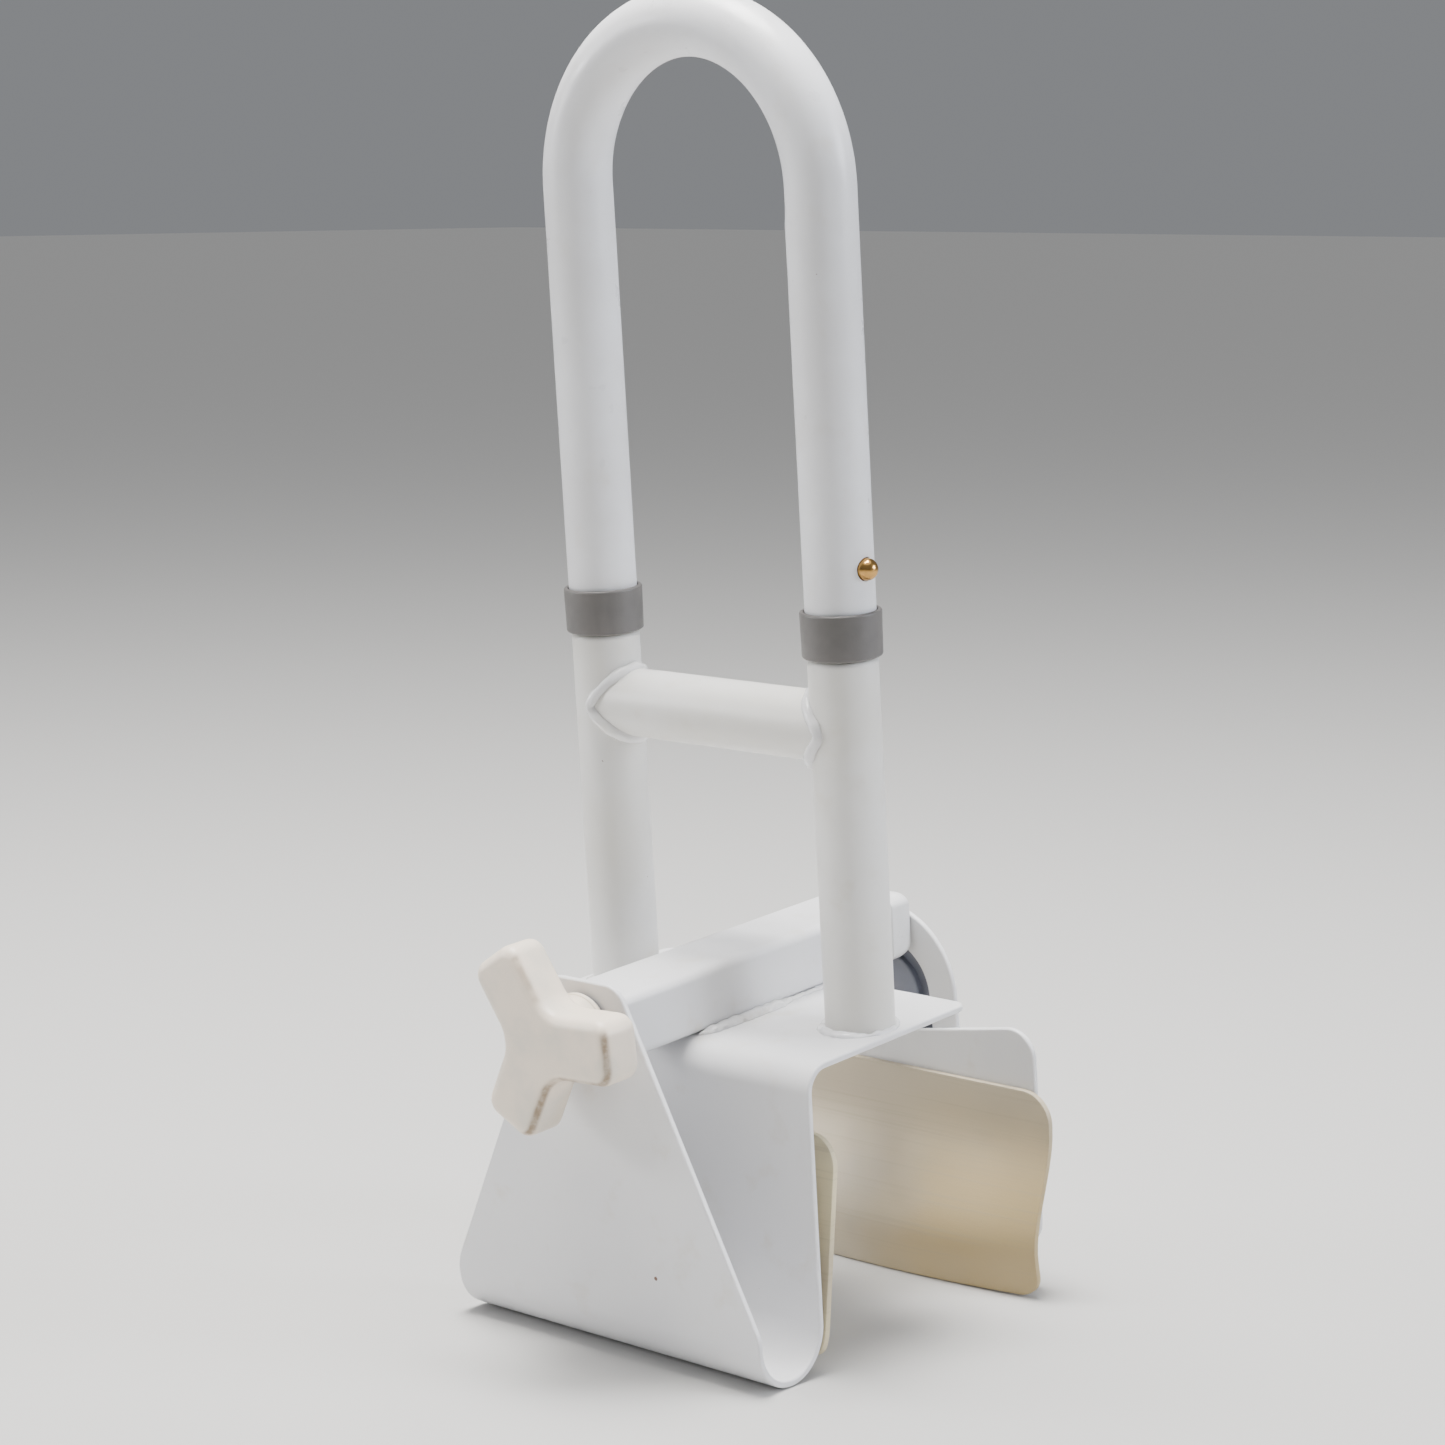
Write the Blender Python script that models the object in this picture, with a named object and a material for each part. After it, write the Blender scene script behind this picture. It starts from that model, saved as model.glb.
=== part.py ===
"""Clamp-on bath grab rail: an inverted-U handle on a bent steel jaw that a screw clamps to the wall of a bath.

X runs across the rail, Y runs from the knob towards the rear jaw, and Z is up. The origin is on the underside
of the rim plate, midway between the posts, where the plate rests on the rim of the bath. Units are metres.
"""

import math

import bmesh
import bpy
from mathutils import Matrix, Vector

GAP = 0.0003  # left between pieces that touch
ROUND_STEPS = 32  # flats round a tube
SMALL_STEPS = 24  # flats round a small turned piece

# Handle, posts and crossbar: one size of tube
TUBE_R = 0.0127
TUBE_WALL = 0.0016
LEG_X = 0.0574  # half of the spacing of the legs
BEND_Z = 0.3021  # centre of the handle's bend
BEND_STEPS = 28
CROSSBAR_Z = 0.1117
POST_TOP_Z = 0.1455
HANDLE_BOTTOM_Z = 0.1475
SPIGOT_R = TUBE_R - TUBE_WALL - GAP
SPIGOT_BOTTOM_Z = 0.085
SPIGOT_TOP_Z = 0.215
COLLAR_R = 0.01465
COLLAR_BOTTOM_Z = 0.1382
COLLAR_TOP_Z = 0.1549

# Snap button of the handle, on the right spigot
BUTTON_R = 0.004
BUTTON_Z = 0.1701
BUTTON_OUT = 0.0042  # how far the dome stands out of the handle's leg
BUTTON_LENGTH = 0.010
BUTTON_HOLE_R = 0.0043
SPRING_STRIP = 0.0008
SPRING_WIDTH = 0.006

# Fixed jaw: one bent sheet
SHEET = 0.0025
JAW_HALF = 0.074
RIM_END_Y = 0.042
RIM_CORNER_R = 0.005
UPRIGHT_Y = -0.050  # knob side of the upright plate
RIM_BEND_R = 0.010  # outside radius of the bend between rim plate and upright plate
FRONT_Y = -0.0827  # knob side of the front plate
LOOP_R = (UPRIGHT_Y + SHEET - FRONT_Y) / 2  # outside radius of the U-bend at the bottom
LOOP_Z = -0.0916
TAPER_START_Z = -0.0872
FRONT_TOP_Z = 0.0315
FRONT_TOP_HALF = 0.0163  # half of the front plate's width where its sides would meet its top
FRONT_TOP_R = 0.009

# Rectangular guide tube on the rim plate, with the slider tube inside it
GUIDE_W, GUIDE_H, GUIDE_R, GUIDE_WALL = 0.031, 0.0234, 0.0035, 0.0016
GUIDE_END_Y = 0.076
SCREW_Z = SHEET + GAP + GUIDE_H / 2
SLIDE_CLEARANCE = 0.0004
SLIDER_W = GUIDE_W - 2 * (GUIDE_WALL + SLIDE_CLEARANCE)
SLIDER_H = GUIDE_H - 2 * (GUIDE_WALL + SLIDE_CLEARANCE)
SLIDER_FRONT_Y = -0.020
BUSH_OVER = 0.0013  # how far the end bush stands proud of the guide tube
BUSH_START_Y = 0.070

# Clamp screw and knob
SCREW_R = 0.00476
SCREW_START_Y = -0.100
SCREW_END_Y = 0.066
KNOB_FRONT_Y = -0.1097
LOBE_DEPTH = 0.0177
LOBE_REACH = 0.0355
LOBE_HALF = 0.0118
LOBE_CORNER_R = 0.006
LOBE_ANGLE = math.radians(3)
WEB_R = 0.012
KNOB_EDGE_R = 0.0028
HUB_R = 0.0132
WASHER_T = 0.00095
INSERT_R = 0.008
BEARING_R = 0.0062
NUT_LENGTH = 0.022

# Rear jaw
REAR_PLATE_Y = 0.0815  # bath side of the rear plate
REAR_HALF = 0.073
REAR_BOTTOM_Z = -0.1062
REAR_DIP_Z = -0.0302  # top edge at the middle
REAR_RISE = 0.17  # climb of the top edge per unit of X, outwards
REAR_CORNER_R = 0.011
ARCH_Y = REAR_PLATE_Y + SHEET + GAP
ARCH_OUT_R, ARCH_OUT_Z = 0.034, -0.0133
ARCH_IN_R, ARCH_IN_Z = 0.0217, -0.0153
ARCH_FOOT_Z = -0.078
ARCH_SPLAY = 0.004  # how far each leg leans outwards by its foot
COVER_R = 0.029
COVER_T = 0.003
BOSS_R = 0.0165

# Vinyl pads
PAD = 0.0026
FIXED_PAD_HALF = 0.0745
FIXED_PAD_TOP_Z = -0.026
FIXED_PAD_TURN = math.radians(38)  # how far it follows the U-bend
FIXED_PAD_LEAN = math.radians(8.5)  # away from the upright plate, above the bend
PAD_CORNER_R = 0.012
REAR_PAD_HALF = 0.081
REAR_PAD_TOP_Z = -0.0422
REAR_PAD_BOTTOM_Z = -0.1192
REAR_PAD_FOOT_R = 0.008
PAD_CURL = 0.012  # how far the rear pad's lower part comes forward
PAD_BOW = 0.007  # how much further it comes forward at the middle
PAD_LIFT = 0.0018  # how far its lowest edge curls back

PAINT = ("white_powder_coat", (0.80, 0.80, 0.81), 0.35, 0.0)
VINYL = ("cream_vinyl", (0.62, 0.56, 0.44), 0.55, 0.0)
IVORY = ("ivory_plastic", (0.72, 0.67, 0.58), 0.45, 0.0)
GREY_PLASTIC = ("grey_plastic", (0.14, 0.14, 0.135), 0.5, 0.0)
DARK_PLASTIC = ("dark_plastic", (0.075, 0.08, 0.095), 0.45, 0.0)
WHITE_PLASTIC = ("white_plastic", (0.78, 0.78, 0.77), 0.4, 0.0)
ZINC = ("zinc_plated_steel", (0.55, 0.56, 0.58), 0.35, 1.0)
SPRING_STEEL = ("spring_steel", (0.35, 0.36, 0.38), 0.3, 1.0)
BRASS = ("brass", (0.56, 0.40, 0.20), 0.3, 1.0)

ALONG_X = Matrix.Rotation(math.pi / 2, 4, "Y")  # turns a piece made about Z to lie along +X
ALONG_Y = Matrix.Rotation(-math.pi / 2, 4, "X")  # turns a piece made about Z to lie along +Y


def clear_scene():
    for old in list(bpy.data.objects):
        bpy.data.objects.remove(old, do_unlink=True)


def finish_of(finish):
    """The material of a finish, made the first time that it is asked for."""
    name, colour, roughness, metallic = finish
    found = bpy.data.materials.get(name)
    if found:
        return found
    made = bpy.data.materials.new(name)
    made.use_nodes = True
    shader = made.node_tree.nodes["Principled BSDF"]
    shader.inputs["Base Color"].default_value = (*colour, 1)
    shader.inputs["Roughness"].default_value = roughness
    shader.inputs["Metallic"].default_value = metallic
    return made


def finished(name, bm, finish, origin=(0, 0, 0)):
    """An object named name from bm, with its origin at the point given in world space."""
    bmesh.ops.recalc_face_normals(bm, faces=bm.faces)
    bmesh.ops.translate(bm, verts=bm.verts, vec=-Vector(origin))
    mesh = bpy.data.meshes.new(name)
    bm.to_mesh(mesh)
    bm.free()
    mesh.shade_smooth()
    mesh.set_sharp_from_angle(angle=math.radians(35))
    mesh.materials.append(finish_of(finish))
    made = bpy.data.objects.new(name, mesh)
    made.location = origin
    bpy.context.scene.collection.objects.link(made)
    return made


def combined(target, cutter, operation="DIFFERENCE"):
    """Adds a Boolean of cutter to target, and hides the cutter from the model."""
    step = target.modifiers.new(cutter.name, "BOOLEAN")
    step.operation = operation
    step.solver = "EXACT"
    step.object = cutter
    cutter.hide_render = True
    cutter.display_type = "WIRE"


def arc(centre_a, centre_b, radius, start, end, steps):
    """Points of an arc in a plane, angles in degrees from the first axis towards the second."""
    turns = [math.radians(start + (end - start) * i / steps) for i in range(steps + 1)]
    return [(centre_a + radius * math.cos(t), centre_b + radius * math.sin(t)) for t in turns]


def rounded_rectangle(width, height, radius, steps=4):
    a, b = width / 2 - radius, height / 2 - radius
    corners = ((a, b, 0), (-a, b, 90), (-a, -b, 180), (a, -b, 270))
    return [p for ca, cb, turn in corners for p in arc(ca, cb, radius, turn, turn + 90, steps)]


def extruded(bm, faces, vector):
    """Extrudes faces along vector, and returns the faces at the far end."""
    result = bmesh.ops.extrude_face_region(bm, geom=faces)["geom"]
    moved = [part for part in result if isinstance(part, bmesh.types.BMVert)]
    bmesh.ops.translate(bm, verts=moved, vec=vector)
    return [part for part in result if isinstance(part, bmesh.types.BMFace)]


def prism_x(outline, low, high):
    """A prism along X from an outline of (y, z) points."""
    bm = bmesh.new()
    face = bm.faces.new([bm.verts.new((low, y, z)) for y, z in outline])
    extruded(bm, [face], (high - low, 0, 0))
    return bm


def prism_y(outline, low, high):
    """A prism along Y from an outline of (x, z) points."""
    bm = bmesh.new()
    face = bm.faces.new([bm.verts.new((x, low, z)) for x, z in outline])
    extruded(bm, [face], (0, high - low, 0))
    return bm


def ring_of_faces(bm, outer, inner):
    """The flat ring between two loops with the same number of points."""
    out = [bm.verts.new(p) for p in outer]
    ins = [bm.verts.new(p) for p in inner]
    count = len(out)
    return [
        bm.faces.new((out[i], out[(i + 1) % count], ins[(i + 1) % count], ins[i]))
        for i in range(count)
    ]


def rectangular_tube(width, height, radius, wall, low, high, z):
    """A hollow tube along Y, centred on X = 0 at height z."""
    bm = bmesh.new()
    outer = [(a, low, z + b) for a, b in rounded_rectangle(width, height, radius)]
    inner_r = max(radius - wall, 0.0005)
    inner = rounded_rectangle(width - 2 * wall, height - 2 * wall, inner_r)
    faces = ring_of_faces(bm, outer, [(a, low, z + b) for a, b in inner])
    extruded(bm, faces, (0, high - low, 0))
    return bm


def turned(profile, steps=SMALL_STEPS, closed=True):
    """A solid turned about Z from (radius, height) points, closed to a ring or ending on the axis."""
    bm = bmesh.new()
    points = [bm.verts.new((radius, 0, height)) for radius, height in profile]
    edges = [bm.edges.new(pair) for pair in zip(points, points[1:])]
    if closed:
        edges.append(bm.edges.new((points[-1], points[0])))
    bmesh.ops.spin(
        bm,
        geom=points + edges,
        cent=(0, 0, 0),
        axis=(0, 0, 1),
        angle=math.tau,
        steps=steps,
        use_merge=True,
    )
    bmesh.ops.remove_doubles(bm, verts=bm.verts, dist=1e-6)
    return bm


def turned_ring(inner, outer, low, high, steps=SMALL_STEPS):
    return turned([(inner, low), (outer, low), (outer, high), (inner, high)], steps)


def turned_rod(radius, low, high, steps=SMALL_STEPS):
    return turned([(0, low), (radius, low), (radius, high), (0, high)], steps, closed=False)


def placed(bm, place):
    bmesh.ops.transform(bm, matrix=place, verts=bm.verts)
    return bm


def on_screw_axis(bm):
    """Lays a piece turned about Z along the clamp screw, its heights becoming Y."""
    return placed(bm, Matrix.Translation((0, 0, SCREW_Z)) @ ALONG_Y)


def screw_cutter(name, radius, low, high):
    return finished(name, on_screw_axis(turned_rod(radius, low, high)), ZINC)


# Fixed frame


def jaw_profile():
    """Outline of the bent sheet in (y, z): rim plate, bend, upright, U-bend and front plate."""
    bend_y, bend_z = UPRIGHT_Y + RIM_BEND_R, SHEET - RIM_BEND_R
    loop_y = FRONT_Y + LOOP_R
    outside = [(RIM_END_Y, SHEET)]
    outside += arc(bend_y, bend_z, RIM_BEND_R, 90, 180, 8)
    outside += arc(loop_y, LOOP_Z, LOOP_R - SHEET, 0, -180, 16)
    outside += [(FRONT_Y + SHEET, FRONT_TOP_Z)]
    back = [(FRONT_Y, FRONT_TOP_Z)]
    back += arc(loop_y, LOOP_Z, LOOP_R, -180, 0, 16)
    back += arc(bend_y, bend_z, RIM_BEND_R - SHEET, 180, 90, 8)
    back += [(RIM_END_Y, 0)]
    return outside + back


def front_plate_waste():
    """What is cut away from the front plate, in (x, z): all that lies outside its tapered outline."""
    run = JAW_HALF - FRONT_TOP_HALF
    rise = FRONT_TOP_Z - TAPER_START_Z
    lean = math.degrees(math.atan2(rise, run))
    inset = FRONT_TOP_R * math.tan(math.radians(lean / 2))
    corner_x = FRONT_TOP_HALF - inset
    corner_z = FRONT_TOP_Z - FRONT_TOP_R
    right = arc(corner_x, corner_z, FRONT_TOP_R, 90, 90 - lean, 6)
    right += [(JAW_HALF, TAPER_START_Z), (JAW_HALF + SHEET, TAPER_START_Z)]
    left = [(-x, z) for x, z in reversed(right)]
    above = FRONT_TOP_Z + 2 * SHEET
    return left + right + [(JAW_HALF + SHEET, above), (-JAW_HALF - SHEET, above)]


def make_fixed_jaw():
    bm = prism_x(jaw_profile(), -JAW_HALF, JAW_HALF)
    corners = [
        edge
        for edge in bm.edges
        if all(v.co.y > RIM_END_Y - GAP for v in edge.verts)
        and abs(edge.verts[0].co.x - edge.verts[1].co.x) < GAP
    ]
    bmesh.ops.bevel(
        bm, geom=corners, offset=RIM_CORNER_R, segments=4, profile=0.5, affect="EDGES"
    )
    jaw = finished("fixed_jaw", bm, PAINT)
    low, high = FRONT_Y - SHEET, FRONT_Y + 2 * SHEET
    waste = finished("front_plate_waste", prism_y(front_plate_waste(), low, high), PAINT)
    combined(jaw, waste)
    combined(jaw, screw_cutter("bearing_hole", BEARING_R + GAP, low, high))


def make_guide():
    tube = rectangular_tube(
        GUIDE_W, GUIDE_H, GUIDE_R, GUIDE_WALL, FRONT_Y + SHEET + GAP, GUIDE_END_Y, SCREW_Z
    )
    finished("guide_tube", tube, PAINT)

    end_y = REAR_PLATE_Y + SHEET - GAP
    shape = rounded_rectangle(GUIDE_W + 2 * BUSH_OVER, GUIDE_H + 2 * BUSH_OVER, 0.006)
    bm = prism_y([(a, SCREW_Z + b) for a, b in shape], BUSH_START_Y, end_y)
    rim = [e for e in bm.edges if all(v.co.y > end_y - GAP for v in e.verts)]
    bmesh.ops.bevel(bm, geom=rim, offset=0.0025, segments=3, profile=0.5, affect="EDGES")
    bush = finished("guide_tube_bush", bm, WHITE_PLASTIC)
    room = SLIDER_W + 2 * GAP, SLIDER_H + 2 * GAP
    way = [(a, SCREW_Z + b) for a, b in rounded_rectangle(*room, 0.002)]
    combined(bush, finished("bush_way", prism_y(way, BUSH_START_Y - GAP, end_y + GAP), PAINT))
    seat = rounded_rectangle(GUIDE_W + 2 * GAP, GUIDE_H + 2 * GAP, GUIDE_R)
    seat = [(a, SCREW_Z + b) for a, b in seat]
    cutter = prism_y(seat, BUSH_START_Y - GAP, GUIDE_END_Y + GAP)
    combined(bush, finished("bush_seat", cutter, PAINT))


def make_uprights():
    bore = TUBE_R - TUBE_WALL
    for side, x in (("left", -LEG_X), ("right", LEG_X)):
        place = Matrix.Translation((x, 0, 0))
        post = turned_ring(bore, TUBE_R, SHEET + GAP, POST_TOP_Z, ROUND_STEPS)
        finished(f"{side}_post", placed(post, place), PAINT)
        spigot = turned_ring(
            SPIGOT_R - TUBE_WALL, SPIGOT_R, SPIGOT_BOTTOM_Z, SPIGOT_TOP_Z, ROUND_STEPS
        )
        spigot = finished(f"{side}_spigot", placed(spigot, place), ZINC)
        if side == "right":
            combined(spigot, button_hole("spigot_hole"))
        seat = TUBE_R + GAP
        collar = turned(
            [
                (COLLAR_R, COLLAR_BOTTOM_Z),
                (COLLAR_R, COLLAR_TOP_Z),
                (seat, COLLAR_TOP_Z),
                (seat, HANDLE_BOTTOM_Z - GAP),
                (SPIGOT_R + GAP, HANDLE_BOTTOM_Z - GAP),
                (SPIGOT_R + GAP, POST_TOP_Z + GAP),
                (seat, POST_TOP_Z + GAP),
                (seat, COLLAR_BOTTOM_Z),
            ],
            ROUND_STEPS,
        )
        finished(f"{side}_collar", placed(collar, place), GREY_PLASTIC)


def make_crossbar():
    bm = turned_ring(TUBE_R - TUBE_WALL, TUBE_R, -LEG_X, LEG_X, ROUND_STEPS)
    place = Matrix.Translation((0, 0, CROSSBAR_Z)) @ ALONG_X
    crossbar = finished("crossbar", placed(bm, place), PAINT)
    for side, x in (("left", -LEG_X), ("right", LEG_X)):
        mouth = turned_rod(TUBE_R + GAP, CROSSBAR_Z - LEG_X, CROSSBAR_Z + LEG_X, ROUND_STEPS)
        place = Matrix.Translation((x, 0, 0))
        combined(crossbar, finished(f"{side}_mouth", placed(mouth, place), PAINT))


def make_fixed_pad():
    """A sheet of vinyl that follows the U-bend and then leans away from the upright plate."""
    loop_y = FRONT_Y + LOOP_R
    inner, outer = LOOP_R + GAP, LOOP_R + GAP + PAD
    low, high = -math.degrees(FIXED_PAD_TURN), -math.degrees(FIXED_PAD_LEAN)
    rise = FIXED_PAD_TOP_Z - LOOP_Z + inner * math.sin(FIXED_PAD_LEAN)
    top = (rise * math.tan(FIXED_PAD_LEAN), rise)
    profile = arc(loop_y, LOOP_Z, inner, high, low, 6) + arc(loop_y, LOOP_Z, outer, low, high, 6)
    ends = [(y + top[0], z + top[1]) for y, z in (profile[-1], profile[0])]
    profile += ends
    bm = prism_x(profile, -FIXED_PAD_HALF, FIXED_PAD_HALF)
    corners = [
        edge
        for edge in bm.edges
        if all(v.co.z > FIXED_PAD_TOP_Z - PAD for v in edge.verts)
        and abs(edge.verts[0].co.x - edge.verts[1].co.x) < GAP
    ]
    bmesh.ops.bevel(
        bm, geom=corners, offset=PAD_CORNER_R, segments=6, profile=0.5, affect="EDGES"
    )
    finished("fixed_jaw_pad", bm, VINYL)


# Handle and its snap button


def make_hoop():
    """The handle: a straight leg, half a turn and another straight leg, as one hollow tube."""
    bm = bmesh.new()
    loops = []
    for radius in (TUBE_R, TUBE_R - TUBE_WALL):
        circle = arc(-LEG_X, 0, radius, 0, 360, ROUND_STEPS)[:-1]
        loops.append([(x, y, HANDLE_BOTTOM_Z) for x, y in circle])
    faces = ring_of_faces(bm, *loops)
    faces = extruded(bm, faces, (0, 0, BEND_Z - HANDLE_BOTTOM_Z))
    bend = bmesh.ops.spin(
        bm,
        geom=faces,
        cent=(0, 0, BEND_Z),
        axis=(0, 1, 0),
        angle=math.pi,
        steps=BEND_STEPS,
        use_merge=False,
    )
    inner_walls = list(faces)
    faces = [part for part in bend["geom_last"] if isinstance(part, bmesh.types.BMFace)]
    extruded(bm, faces, (0, 0, HANDLE_BOTTOM_Z - BEND_Z))
    bmesh.ops.delete(bm, geom=inner_walls + faces, context="FACES")
    hoop = finished("hoop", bm, PAINT)
    combined(hoop, button_hole("hoop_hole"))


def button_place(x):
    return Matrix.Translation((x, 0, BUTTON_Z)) @ ALONG_X


def button_hole(name):
    bm = turned_rod(BUTTON_HOLE_R, 0, TUBE_R + BUTTON_OUT)
    return finished(name, placed(bm, button_place(LEG_X)), BRASS)


def make_snap_button():
    tip = LEG_X + TUBE_R + BUTTON_OUT
    shoulder = BUTTON_LENGTH - BUTTON_R * 0.8
    dome = [(BUTTON_R * math.cos(t), shoulder + BUTTON_R * 0.8 * math.sin(t)) for t in (0, 0.5, 1.0)]
    profile = [(0, 0), (BUTTON_R, 0)] + dome + [(0, BUTTON_LENGTH)]
    bm = turned(profile, closed=False)
    start = tip - BUTTON_LENGTH
    finished("snap_button", placed(bm, button_place(start)), BRASS, (start, 0, BUTTON_Z))

    right = start - GAP
    left = 2 * LEG_X - right
    mid, half = (left + right) / 2, (right - left) / 2
    low = BUTTON_Z - 0.025
    outer = [(left, BUTTON_Z + 0.002)] + arc(mid, low, half, 180, 360, 8)
    outer += [(right, BUTTON_Z + 0.006)]
    inner = [(right - SPRING_STRIP, BUTTON_Z + 0.006)]
    inner += arc(mid, low, half - SPRING_STRIP, 360, 180, 8)
    inner += [(left + SPRING_STRIP, BUTTON_Z + 0.002)]
    bm = prism_y(outer + inner, -SPRING_WIDTH / 2, SPRING_WIDTH / 2)
    finished("snap_spring", bm, SPRING_STEEL)


# Clamp screw


def knob_outline():
    """Three lobes with straight flanks, rounded corners and hollow webs between them, in (x, z)."""
    third = math.tau / 3
    web_reach = (LOBE_HALF + WEB_R) / math.sin(third / 2)
    corner = LOBE_HALF - LOBE_CORNER_R
    points = []
    for lobe in range(3):
        turn = LOBE_ANGLE + lobe * third
        flat = arc(LOBE_REACH - LOBE_CORNER_R, -corner, LOBE_CORNER_R, -90, 0, 4)
        flat += arc(LOBE_REACH - LOBE_CORNER_R, corner, LOBE_CORNER_R, 0, 90, 4)
        web_a = web_reach * math.cos(third / 2)
        web_b = web_reach * math.sin(third / 2)
        flat += arc(web_a, web_b, WEB_R, 270, 270 - 60, 5)
        for a, b in flat:
            x = a * math.cos(turn) - b * math.sin(turn)
            z = a * math.sin(turn) + b * math.cos(turn)
            points.append((x, SCREW_Z + z))
    return points


def make_knob():
    back_y = KNOB_FRONT_Y + LOBE_DEPTH
    bm = prism_y(knob_outline(), KNOB_FRONT_Y, back_y)
    rims = [e for e in bm.edges if abs(e.verts[0].co.y - e.verts[1].co.y) < GAP]
    bmesh.ops.bevel(bm, geom=rims, offset=KNOB_EDGE_R, segments=3, profile=0.5, affect="EDGES")
    axis_point = (0, 0, SCREW_Z)
    knob = finished("knob", bm, IVORY, axis_point)
    hub_end = FRONT_Y - 2 * GAP - WASHER_T
    combined(knob, screw_cutter("hub", HUB_R, back_y - 0.005, hub_end), "UNION")
    bore_end = SCREW_START_Y - 0.004
    combined(knob, screw_cutter("insert_bore", INSERT_R + GAP, bore_end, hub_end + GAP))

    hole = SCREW_R + GAP
    insert = turned(
        [
            (0, bore_end + GAP),
            (INSERT_R, bore_end + GAP),
            (INSERT_R, hub_end),
            (hole, hub_end),
            (hole, SCREW_START_Y - GAP),
            (0, SCREW_START_Y - GAP),
        ],
        closed=False,
    )
    finished("knob_insert", on_screw_axis(insert), ZINC, axis_point)
    screw = turned_rod(SCREW_R, SCREW_START_Y, SCREW_END_Y)
    finished("clamp_screw", on_screw_axis(screw), ZINC, axis_point)
    washer = turned_ring(hole, HUB_R - 0.001, hub_end + GAP, hub_end + GAP + WASHER_T)
    finished("thrust_washer", on_screw_axis(washer), ZINC, axis_point)

    inside_y = FRONT_Y + SHEET + GAP
    bearing = turned(
        [
            (hole, FRONT_Y),
            (BEARING_R, FRONT_Y),
            (BEARING_R, inside_y),
            (BEARING_R + 0.002, inside_y),
            (BEARING_R + 0.002, inside_y + 0.001),
            (hole, inside_y + 0.001),
        ]
    )
    finished("bearing_bush", on_screw_axis(bearing), WHITE_PLASTIC)
    start = inside_y + 0.001 + GAP
    collar = turned_ring(hole, BEARING_R + 0.002, start, start + 0.006)
    finished("screw_collar", on_screw_axis(collar), ZINC, axis_point)


# Rear jaw


def make_slider():
    end_y = ARCH_Y - GAP
    bm = rectangular_tube(
        SLIDER_W, SLIDER_H, GUIDE_R - GUIDE_WALL, GUIDE_WALL, SLIDER_FRONT_Y, end_y, SCREW_Z
    )
    finished("slider_tube", bm, ZINC)
    inside = 2 * (GUIDE_WALL + GAP)
    block = rounded_rectangle(SLIDER_W - inside, SLIDER_H - inside, 0.0015)
    block = [(a, SCREW_Z + b) for a, b in block]
    bm = prism_y(block, SLIDER_FRONT_Y, SLIDER_FRONT_Y + NUT_LENGTH)
    nut = finished("clamp_nut", bm, ZINC)
    low, high = SLIDER_FRONT_Y - GAP, SLIDER_FRONT_Y + NUT_LENGTH + GAP
    combined(nut, screw_cutter("nut_hole", SCREW_R + GAP, low, high))


def arch_side(radius, centre_z, foot_z):
    """Half of an arch's edge in (x, z), from its top down the right side to its foot."""
    curve = arc(0, centre_z, radius, 90, 0, 10)
    return curve + [(radius + ARCH_SPLAY, foot_z)]


def make_arch():
    outer = arch_side(ARCH_OUT_R, ARCH_OUT_Z, ARCH_FOOT_Z)
    inner = arch_side(ARCH_IN_R, ARCH_IN_Z, ARCH_FOOT_Z)
    left = [(-x, z) for x, z in reversed(outer[1:])]
    hollow = [(-x, z) for x, z in inner[1:]]
    outline = left + outer + list(reversed(inner)) + hollow
    finished("arch_bracket", prism_y(outline, ARCH_Y, ARCH_Y + SHEET), PAINT)

    back = ARCH_Y + SHEET + GAP
    side = arc(0, ARCH_OUT_Z, COVER_R, 90, 0, 10) + [(COVER_R, ARCH_FOOT_Z)]
    shape = [(-x, z) for x, z in reversed(side[1:])] + side
    cover = finished("rear_cover", prism_y(shape, back, back + COVER_T), DARK_PLASTIC)
    boss_side = arc(0, ARCH_IN_Z, BOSS_R, 90, 0, 8) + [(BOSS_R, ARCH_FOOT_Z + 0.01)]
    boss = [(-x, z) for x, z in reversed(boss_side[1:])] + boss_side
    boss = finished("cover_boss", prism_y(boss, ARCH_Y, back + COVER_T / 2), DARK_PLASTIC)
    combined(cover, boss, "UNION")


def make_rear_plate():
    """The plate behind the rear pad, with rounded corners and a top edge that rises outwards."""
    inset = REAR_HALF - REAR_CORNER_R
    slope = math.degrees(math.atan(REAR_RISE))
    low = arc(inset, REAR_BOTTOM_Z + REAR_CORNER_R, REAR_CORNER_R, -90, 0, 6)
    high_z = REAR_DIP_Z + REAR_RISE * inset - REAR_CORNER_R / math.cos(math.radians(slope))
    high = arc(inset, high_z, REAR_CORNER_R, 0, 90 + slope, 7)
    right = low + high
    left = [(-x, z) for x, z in reversed(right)]
    outline = right + [(0, REAR_DIP_Z)] + left
    plate = prism_y(outline, REAR_PLATE_Y, REAR_PLATE_Y + SHEET)
    finished("rear_plate", plate, PAINT)


def eased(value):
    """0 below 0, 1 above 1, and a smooth step between."""
    t = min(max(value, 0), 1)
    return t * t * (3 - 2 * t)


def rear_pad_y(x, z):
    """Middle surface of the rear pad: flat on its plate at the top, curling forward lower down."""
    drop = REAR_PAD_TOP_Z - z
    curl = PAD_CURL * eased((drop - 0.014) / 0.046)
    bow = PAD_BOW * (1 - (x / REAR_PAD_HALF) ** 2) * eased((drop - 0.020) / 0.057)
    lift = PAD_LIFT * eased((drop - 0.058) / 0.019)
    return REAR_PLATE_Y - GAP - PAD / 2 - curl - bow + lift


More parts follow.
